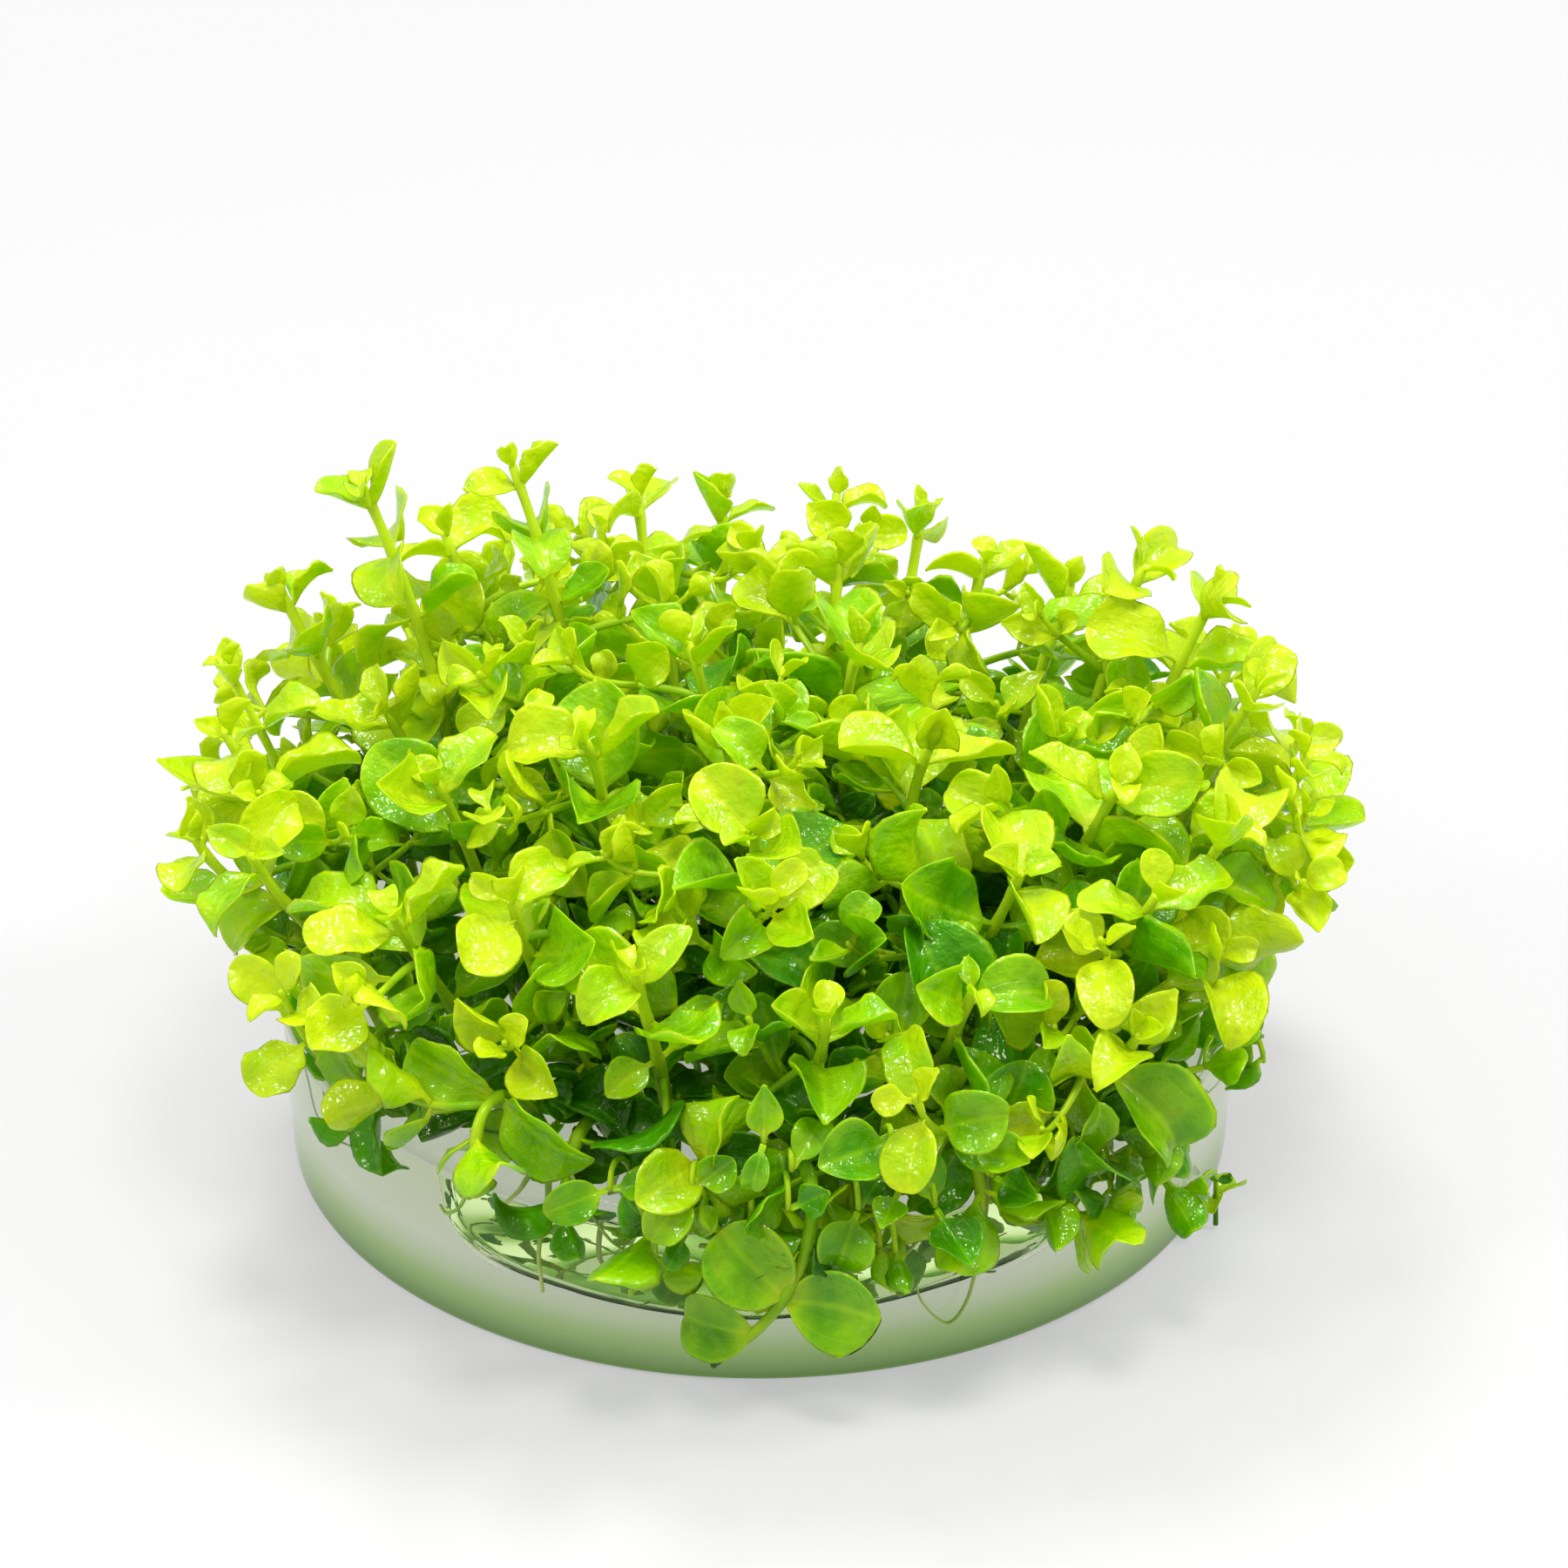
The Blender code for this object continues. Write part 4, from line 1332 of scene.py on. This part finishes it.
def mixed(tree, share, first, second):
    """A colour mix. A colour given as three numbers is taken as it is."""
    made = node(tree, "Mix", {"Factor": share}, data_type="RGBA")
    for key, value in ((6, first), (7, second)):
        if isinstance(value, bpy.types.NodeSocket):
            tree.links.new(value, made.inputs[key])
        else:
            made.inputs[key].default_value = (*value, 1.0)
    return made.outputs[2]


def rising(tree, value, low, high):
    """A smooth step of the value from 0 at low to 1 at high."""
    inputs = {"Value": value, "From Min": low, "From Max": high}
    return node(tree, "MapRange", inputs, interpolation_type="SMOOTHSTEP").outputs["Result"]


def grain(tree, where, scale, detail=2.0):
    return node(tree, "TexNoise", {"Vector": where, "Scale": scale, "Detail": detail}).outputs["Fac"]


def summed(tree, first, weighted):
    """The first value plus each of the (value, weight) pairs."""
    total = first
    for value, weight in weighted:
        total = math_of(tree, "ADD", total, math_of(tree, "MULTIPLY", value, weight))
    return total


def leaf_material():
    """A wet, translucent leaf with faint long veins and a fine grain of cells, its rim and tip painted
    brighter as a glow of light through the thin edge.
    """
    made, tree = start_material("pearlweed leaf")
    where = node(tree, "TexCoord").outputs["Object"]
    mapped = node(tree, "SeparateXYZ", {0: node(tree, "UVMap", uv_map="blade").outputs[0]})
    lengthwise = mapped.outputs[0]
    centred = math_of(tree, "SUBTRACT", mapped.outputs[1], 0.5)
    aside = math_of(tree, "MULTIPLY", math_of(tree, "ABSOLUTE", centred), 2.0)
    # the tint attribute holds each leaf's tone, with the painted light and shade of its place in the cushion
    tint = node(tree, "Attribute", attribute_name="tint").outputs["Fac"]

    waves = math_of(tree, "COSINE", math_of(tree, "MULTIPLY", aside, 2 * math.pi * VEIN_GAPS))
    midrib = rising(tree, aside, 0.14, 0.0)
    veins = math_of(tree, "MAXIMUM", rising(tree, waves, 0.86, 1.0), midrib)
    patches = grain(tree, where, LEAF_GRAIN, 3.0)
    # painted light: the rim and the tip are made brighter, as if light shone through the thin edge
    rim = math_of(tree, "MAXIMUM", rising(tree, aside, 0.86, 1.0), rising(tree, lengthwise, 0.90, 1.0))
    foot = rising(tree, lengthwise, 0.34, 0.06)
    tone = summed(tree, tint, (
        (math_of(tree, "SUBTRACT", patches, 0.5), 0.75),
        (foot, 0.30),
        (rim, 0.20),
        (midrib, 0.10),
        (veins, 0.04),
    ))
    green = ramp_of(tree, tone, ((0.0, DEEP), (0.33, MIDDLE), (0.66, FRESH), (1.0, LIME)))
    spots = rising(tree, grain(tree, where, SPOT_GRAIN, 1.0), 0.66, 0.74)
    spotted = mixed(tree, math_of(tree, "MULTIPLY", spots, 0.25), green, BROWNED)

    film = grain(tree, where, FILM_SCALE, 2.0)
    relief = summed(tree, math_of(tree, "MULTIPLY", film, 15.0), ((veins, -0.6),))
    bump = {"Height": relief, "Strength": 0.6, "Distance": 0.03 * MM}
    normal = node(tree, "Bump", bump).outputs[0]
    rough = math_of(tree, "ADD", math_of(tree, "MULTIPLY", patches, 0.3), 0.14)
    surface = node(
        tree,
        "BsdfPrincipled",
        {
            "Base Color": spotted,
            "Roughness": rough,
            "IOR": 1.42,
            "Specular Tint": (*GLOSS_TINT, 1.0),
            "Coat Weight": 0.85,
            "Coat Roughness": 0.03,
            "Normal": normal,
            "Coat Normal": normal,
        },
    )
    glow = mixed(tree, 0.42, spotted, THROUGH)
    through = node(tree, "BsdfTranslucent", {"Color": glow})
    both = node(tree, "MixShader", {0: 0.50, 1: surface.outputs[0], 2: through.outputs[0]})
    node(tree, "OutputMaterial", {"Surface": both.outputs[0]})
    return made


def stem_material():
    """A juicy stem: paler to its tip, with fine lines along it."""
    made, tree = start_material("pearlweed stem")
    where = node(tree, "TexCoord").outputs["Object"]
    mapped = node(tree, "SeparateXYZ", {0: node(tree, "UVMap", uv_map="blade").outputs[0]})
    tint = node(tree, "Attribute", attribute_name="tint").outputs["Fac"]
    patches = grain(tree, where, STEM_GRAIN, 3.0)
    # the tint attribute holds the painted light and shade of the stem's place in the cushion, beside its own
    # paler tip
    paler = math_of(tree, "MULTIPLY", math_of(tree, "ADD", mapped.outputs[0], tint), 0.5)
    tone = summed(tree, paler, ((math_of(tree, "SUBTRACT", patches, 0.5), 0.7),))
    green = ramp_of(tree, tone, ((0.0, STEM_DEEP), (0.35, STEM_GREEN), (0.9, STEM_LIME)))
    lines = node(tree, "TexWave", {"Vector": where, "Scale": STEM_LINES, "Distortion": 4.0}).outputs["Fac"]
    bump = {"Height": lines, "Strength": 0.2, "Distance": 0.03 * MM}
    normal = node(tree, "Bump", bump).outputs[0]
    rough = math_of(tree, "ADD", math_of(tree, "MULTIPLY", patches, 0.2), 0.2)
    surface = node(
        tree,
        "BsdfPrincipled",
        {
            "Base Color": green,
            "Roughness": rough,
            "IOR": 1.42,
            "Specular Tint": (*GLOSS_TINT, 1.0),
            "Coat Weight": 0.2,
            "Coat Roughness": 0.05,
            "Normal": normal,
        },
    )
    through = node(tree, "BsdfTranslucent", {"Color": mixed(tree, 0.3, green, THROUGH)})
    both = node(tree, "MixShader", {0: 0.35, 1: surface.outputs[0], 2: through.outputs[0]})
    node(tree, "OutputMaterial", {"Surface": both.outputs[0]})
    return made


def root_material():
    """Pale, half see-through roots, greener here and there."""
    made, tree = start_material("pearlweed root")
    where = node(tree, "TexCoord").outputs["Object"]
    patches = grain(tree, where, ROOT_GRAIN, 3.0)
    colour = ramp_of(tree, patches, ((0.35, STEM_GREEN), (0.6, ROOT_PALE)))
    rough = math_of(tree, "ADD", math_of(tree, "MULTIPLY", patches, 0.2), 0.3)
    surface = node(tree, "BsdfPrincipled", {"Base Color": colour, "Roughness": rough, "IOR": 1.38})
    through = node(tree, "BsdfTranslucent", {"Color": colour})
    both = node(tree, "MixShader", {0: 0.4, 1: surface.outputs[0], 2: through.outputs[0]})
    node(tree, "OutputMaterial", {"Surface": both.outputs[0]})
    return made


def gel_material():
    """Clear gel, faintly green in its depth, with a skin that is not quite even, and painted shade at its
    foot near the wall.
    """
    made, tree = start_material("clear gel")
    where = node(tree, "TexCoord").outputs["Object"]
    swell = grain(tree, where, GEL_GRAIN, 2.0)
    bump = {"Height": swell, "Strength": 0.25, "Distance": 0.15 * MM}
    place = node(tree, "SeparateXYZ", {0: where})
    # painted shade: the gel's foot is darkened to deep green by height, and left clear inside the ring
    painted_foot_shade = ramp_of(tree, math_of(tree, "DIVIDE", place.outputs["Z"], GEL_SHADE_BAND), GEL_FOOT_SHADE)
    flat = node(tree, "CombineXYZ", {"X": place.outputs["X"], "Y": place.outputs["Y"]}).outputs[0]
    radius = node(tree, "VectorMath", {0: flat}, operation="LENGTH").outputs["Value"]
    inside = rising(tree, radius, GEL_SHADE_RING[1], GEL_SHADE_RING[0])
    surface = node(
        tree,
        "BsdfPrincipled",
        {
            "Base Color": mixed(tree, inside, painted_foot_shade, GEL_CLEAR),
            "Roughness": 0.0,
            "IOR": GEL_IOR,
            "Transmission Weight": 1.0,
            "Normal": node(tree, "Bump", bump).outputs[0],
        },
    )
    depth = node(tree, "VolumeAbsorption", {"Color": (*GEL_TINT, 1.0), "Density": GEL_DENSITY})
    node(tree, "OutputMaterial", {"Surface": surface.outputs[0], "Volume": depth.outputs[0]})
    return made


def rough_at(point, scale, seed):
    """Smooth noise from -1 to 1 at a point, with swells 1/scale metres wide."""
    return noise.noise(Vector(point) * scale + Vector((seed, 0.0, 0.0)))


def pocket_radius(angle):
    """The edge of the pocket of air under the gel, which reaches farthest to the front."""
    reach = POCKET_RADIUS - POCKET_FORWARD * math.sin(angle) - POCKET_NARROW * math.cos(2 * angle)
    return reach * (1.0 + 0.02 * math.sin(3 * angle + 2.0) + 0.015 * math.sin(7 * angle))


def gel_rows():
    """Rows of (radius, height) by the angle: over the top, down the wall, to the middle below."""
    rows = []
    flat = GEL_RADIUS - GEL_RIM_WIDTH
    for share in np.linspace(0.06, 1.0, 14):
        rows.append(lambda angle, radius=flat * share: (radius, gel_top(radius)))
    for share in np.linspace(0.15, 1.0, 7):
        rows.append(lambda angle, radius=flat + GEL_RIM_WIDTH * share: (radius, gel_top(radius)))
    for share in np.linspace(0.04, 1.0, 12):
        height = GEL_HEIGHT + (GEL_FOOT_ROUND - GEL_HEIGHT) * share
        rows.append(lambda angle, h=height, s=share: (GEL_RADIUS - GEL_DRAFT * s, h))
    for turn in np.linspace(0.2, 1.0, 5) * math.pi / 2:
        radius = GEL_RADIUS - GEL_DRAFT - GEL_FOOT_ROUND * (1 - math.cos(turn))
        rows.append(lambda angle, r=radius, h=GEL_FOOT_ROUND * (1 - math.sin(turn)): (r, h))
    foot = GEL_RADIUS - GEL_DRAFT - GEL_FOOT_ROUND
    for share in (0.3, 0.6, 1.0):
        rows.append(lambda angle, s=share: (foot + (pocket_radius(angle) + POCKET_EDGE - foot) * s, 0.0))
    for share in np.linspace(0.2, 1.0, 5):
        depth = POCKET_DEPTH * share * share * (3 - 2 * share)
        rows.append(lambda angle, s=share, h=depth: (pocket_radius(angle) + POCKET_EDGE * (1 - s), h))
    for share in np.linspace(0.93, 0.08, 14):
        rows.append(lambda angle, s=share: (pocket_radius(angle) * s, POCKET_DEPTH))
    return rows


def make_gel(material):
    """The gel disc, a little wavy on its top, its wall and the roof of the pocket under it."""
    rings = []
    for row in gel_rows():
        ring = []
        for i in range(FINE_STEPS):
            angle = 2 * math.pi * i / FINE_STEPS
            radius, height = row(angle)
            place = at_angle(radius, angle, height)
            if height > GEL_HEIGHT / 2:
                height += TOP_WAVES[0] * MM * rough_at(place, *TOP_WAVES[1:])
            elif radius < pocket_radius(angle):
                inward = min(1.0, ROOF_RISE * (1.0 - radius / pocket_radius(angle)))
                height += ROOF_WAVES[0] * MM * inward * rough_at(place, *ROOF_WAVES[1:])
            if radius > GEL_RADIUS - 2 * GEL_DRAFT:
                radius += WALL_WAVES[0] * MM * rough_at(place, *WALL_WAVES[1:])
            ring.append(at_angle(radius, angle, height))
        rings.append(ring)
    form = Form()
    blank = [[(0.0, 0.0)] * FINE_STEPS] * len(rings)
    ends = (Vector((0.0, 0.0, gel_top(0.0))), Vector((0.0, 0.0, POCKET_DEPTH)))
    form.add(rings, ends, blank, [(0.0, 0.0)] * 2, 0.0, 0)
    made = form.make("gel", [material])
    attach(made, "root")
    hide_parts("gel_puck")


def root_line(start, rng):
    """A root that wanders down into the gel and bends off near its underside."""
    heading = rng.uniform(0.0, 2 * math.pi)
    drift = Vector((math.cos(heading), math.sin(heading), 0.0)) * rng.uniform(*ROOT_DRIFT)
    points = [start]
    place = start
    for _ in range(rng.randint(*ROOT_STEPS)):
        deep = min(1.0, max(0.0, (place.z - ROOT_BEND_HEIGHT * MM) / (ROOT_BEND_SPAN * MM)))
        drift += Vector((rng.gauss(0, ROOT_WANDER), rng.gauss(0, ROOT_WANDER), 0.0))
        sinking = -ROOT_SINK * deep + rng.uniform(*ROOT_SINK_SPREAD)
        step = (drift + Vector((0.0, 0.0, sinking))) * ROOT_STEP * MM
        place = place + step
        place.z = max(place.z, ROOT_LOWEST * MM)
        if place.xy.length > GEL_RADIUS - INSIDE_WALL * MM:
            inward = (GEL_RADIUS - INSIDE_WALL * MM) / place.xy.length
            place.x *= inward
            place.y *= inward
        points.append(place.copy())
    return points


def on_wall(x, z):
    """The place at the front of the gel's wall with this x and z in mm."""
    radius = GEL_RADIUS + WALL_GAP
    return Vector((x * MM, -math.sqrt(radius**2 - (x * MM) ** 2), z * MM))


def smooth_line(places, count):
    """Points on a smooth curve through these places."""
    line = np.array([tuple(place) for place in places])
    at = np.arange(len(line))
    fine = np.linspace(0, len(line) - 1, count)
    slopes = np.gradient(line, axis=0)
    low = np.minimum(fine.astype(int), len(line) - 2)
    u = (fine - at[low])[:, None]
    start, end = line[low], line[low + 1]
    rise = 3 * u**2 - 2 * u**3
    curve = start + (end - start) * rise
    curve = curve + slopes[low] * (u**3 - 2 * u**2 + u) + slopes[low + 1] * (u**3 - u**2)
    return [Vector(point) for point in curve]


def make_roots(sprigs, material):
    """Fine roots below the feet of the sprigs inside the gel, and a few down its wall, as one piece."""
    rng = random.Random(ROOT_ARRANGEMENT)
    form = Form()
    for sprig in sprigs[::ROOT_EVERY]:
        foot = sprig["stem"][0]
        start = Vector((foot.x, foot.y, GEL_HEIGHT - ROOT_START * MM))
        line = smooth_line(root_line(start, rng), ROOT_POINTS)
        thick = rng.uniform(*ROOT_RADII) * MM
        radii = [thick * (1.0 - ROOT_TAPER * i / len(line)) for i in range(len(line))]
        add_tube(form, line, radii, ROOT_TINT, 0, THIN_SIDES)
    for thick, places in WALL_ROOTS:
        line = smooth_line([on_wall(x, z) for x, z in places], WALL_ROOT_POINTS)
        radii = [thick / 2 * MM * (1.0 - WALL_ROOT_TAPER * i / len(line)) for i in range(len(line))]
        add_tube(form, line, radii, ROOT_TINT, 0, THIN_SIDES)
    made = form.make("roots", [material])
    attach(made, "root")


def in_gel(leaf):
    """Whether a leaf, with some room for its hook and twist, lies inside the gel."""
    points = [leaf_point(leaf, t, s) for t in (0.3, 0.6, 1.0) for s in (-1.0, 0.0, 1.0)]
    lowest, highest = SUNK_HEIGHTS
    reach = GEL_RADIUS - INSIDE_WALL * MM
    return all(lowest * MM < p.z < highest * MM and p.xy.length < reach for p in points)


def make_sunk_leaves(material):
    """The few leaves that lie inside the gel: pale ones at the front and dark ones at the right."""
    rng = random.Random(SUNK_ARRANGEMENT)
    form = Form()
    for low, high, count, tint in SUNK:
        for _ in range(count):
            place = Vector([rng.uniform(a, b) for a, b in zip(low, high)]) * MM
            tangent = Vector((rng.gauss(0, SUNK_LEAN), rng.gauss(0, SUNK_LEAN), 1.0)).normalized()
            length = rng.uniform(*SUNK_LENGTHS) * MM
            for _ in range(SUNK_TRIES):
                turn = rng.uniform(0, 2 * math.pi)
                axes = leaf_axes(tangent, turn, math.radians(rng.uniform(*SUNK_OPENINGS)))
                leaf = (place, axes, length, math.radians(rng.choice(CURLS)), rng.uniform(*CUPS))
                if in_gel(leaf):
                    add_blade(form, leaf, looks_of(rng, tint))
                    break
    made = form.make("sunk_leaves", [material])
    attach(made, "root")


def make_floor():
    """A plain pale floor with a little even light of its own. The wet gel touches it."""
    mesh = bpy.data.meshes.new("floor")
    sides = ((-1, -1), (1, -1), (1, 1), (-1, 1))
    corners = [(x * FLOOR_REACH, y * FLOOR_REACH, WET_CONTACT) for x, y in sides]
    mesh.from_pydata(corners, [], [(0, 1, 2, 3)])
    floor = bpy.data.objects.new("floor", mesh)
    bpy.context.scene.collection.objects.link(floor)
    made, tree = start_material("pale floor")
    where = node(tree, "TexCoord").outputs["Object"]
    cloud = grain(tree, where, FLOOR_GRAIN, 2.0)
    colour = mixed(tree, cloud, FLOOR_PALE, FLOOR_PALER)
    white = (1.0, 1.0, 1.0, 1.0)
    lit = {"Base Color": colour, "Roughness": 0.5, "Emission Color": white, "Emission Strength": FLOOR_GLOW}
    surface = node(tree, "BsdfPrincipled", lit)
    node(tree, "OutputMaterial", {"Surface": surface.outputs[0]})
    mesh.materials.append(made)


def make_light(name, place, target, size, power):
    """A square softbox at a place, turned to its target."""
    light = bpy.data.lights.new(name, "AREA")
    light.shape = "SQUARE"
    light.size = size
    light.energy = power
    made = bpy.data.objects.new(name, light)
    made.location = place
    aim = Vector(target) - Vector(place)
    made.rotation_euler = aim.to_track_quat("-Z", "Y").to_euler()
    bpy.context.scene.collection.objects.link(made)


def make_lights():
    """A white room that is brightest overhead, and the softboxes that give the leaves their highlights."""
    world = bpy.data.worlds.new("white room")
    world.use_nodes = True
    tree = world.node_tree
    tree.nodes.clear()
    upward = node(tree, "SeparateXYZ", {0: node(tree, "TexCoord").outputs["Generated"]}).outputs["Z"]
    overhead = math_of(tree, "MULTIPLY", math_of(tree, "MAXIMUM", upward, 0.0), ROOM_OVERHEAD)
    strength = math_of(tree, "ADD", overhead, ROOM_LIGHT)
    background = node(tree, "Background", {"Color": (1.0, 1.0, 1.0, 1.0), "Strength": strength})
    node(tree, "OutputWorld", {"Surface": background.outputs[0]})
    world.cycles.sampling_method = "NONE"
    bpy.context.scene.world = world
    for name, place, size, power in SOFTBOXES:
        make_light(name, place, LIGHT_TARGET, size, power)


def make_camera():
    """The camera at the photograph's angle, with the gel's foot at the pixel where the photograph has it."""
    tilt = math.radians(ELEVATION)
    back = Vector((0.0, -math.cos(tilt), math.sin(tilt)))
    up = Vector((0.0, math.sin(tilt), math.cos(tilt)))
    per_pixel = SENSOR / FOCAL / PICTURE * DISTANCE
    right_by = (ORIGIN_PIXEL[0] - PICTURE / 2) * per_pixel
    down_by = (ORIGIN_PIXEL[1] - PICTURE / 2) * per_pixel
    data = bpy.data.cameras.new("camera")
    data.lens = FOCAL
    data.sensor_width = SENSOR
    data.clip_start = 0.01
    camera = bpy.data.objects.new("camera", data)
    camera.location = back * DISTANCE - Vector((right_by, 0.0, 0.0)) + up * down_by
    camera.rotation_euler = back.to_track_quat("Z", "Y").to_euler()
    bpy.context.scene.collection.objects.link(camera)
    bpy.context.scene.camera = camera


def set_rendering():
    """Plain colours, and enough bounces for the gel and the depth of the leaves."""
    scene = bpy.context.scene
    scene.view_settings.view_transform = "Standard"
    scene.view_settings.exposure = EXPOSURE
    scene.cycles.max_bounces = 8
    scene.cycles.diffuse_bounces = 2
    scene.cycles.glossy_bounces = 4
    scene.cycles.transmission_bounces = 8
    scene.cycles.transparent_max_bounces = 4
    scene.cycles.sample_clamp_indirect = 6.0


def main():
    make_camera()
    set_rendering()
    make_lights()
    make_floor()
    sprigs, room = grow_sprigs()
    leaf, stem, root = leaf_material(), stem_material(), root_material()
    for sprig in sprigs:
        make_sprig(sprig, [leaf, stem])
    make_front_pairs(room, [leaf, stem])
    for row in LOW_SHOOTS:
        make_low_shoots(row, room, [leaf, stem])
    make_gel(gel_material())
    make_roots(sprigs, root)
    make_sunk_leaves(leaf)


main()
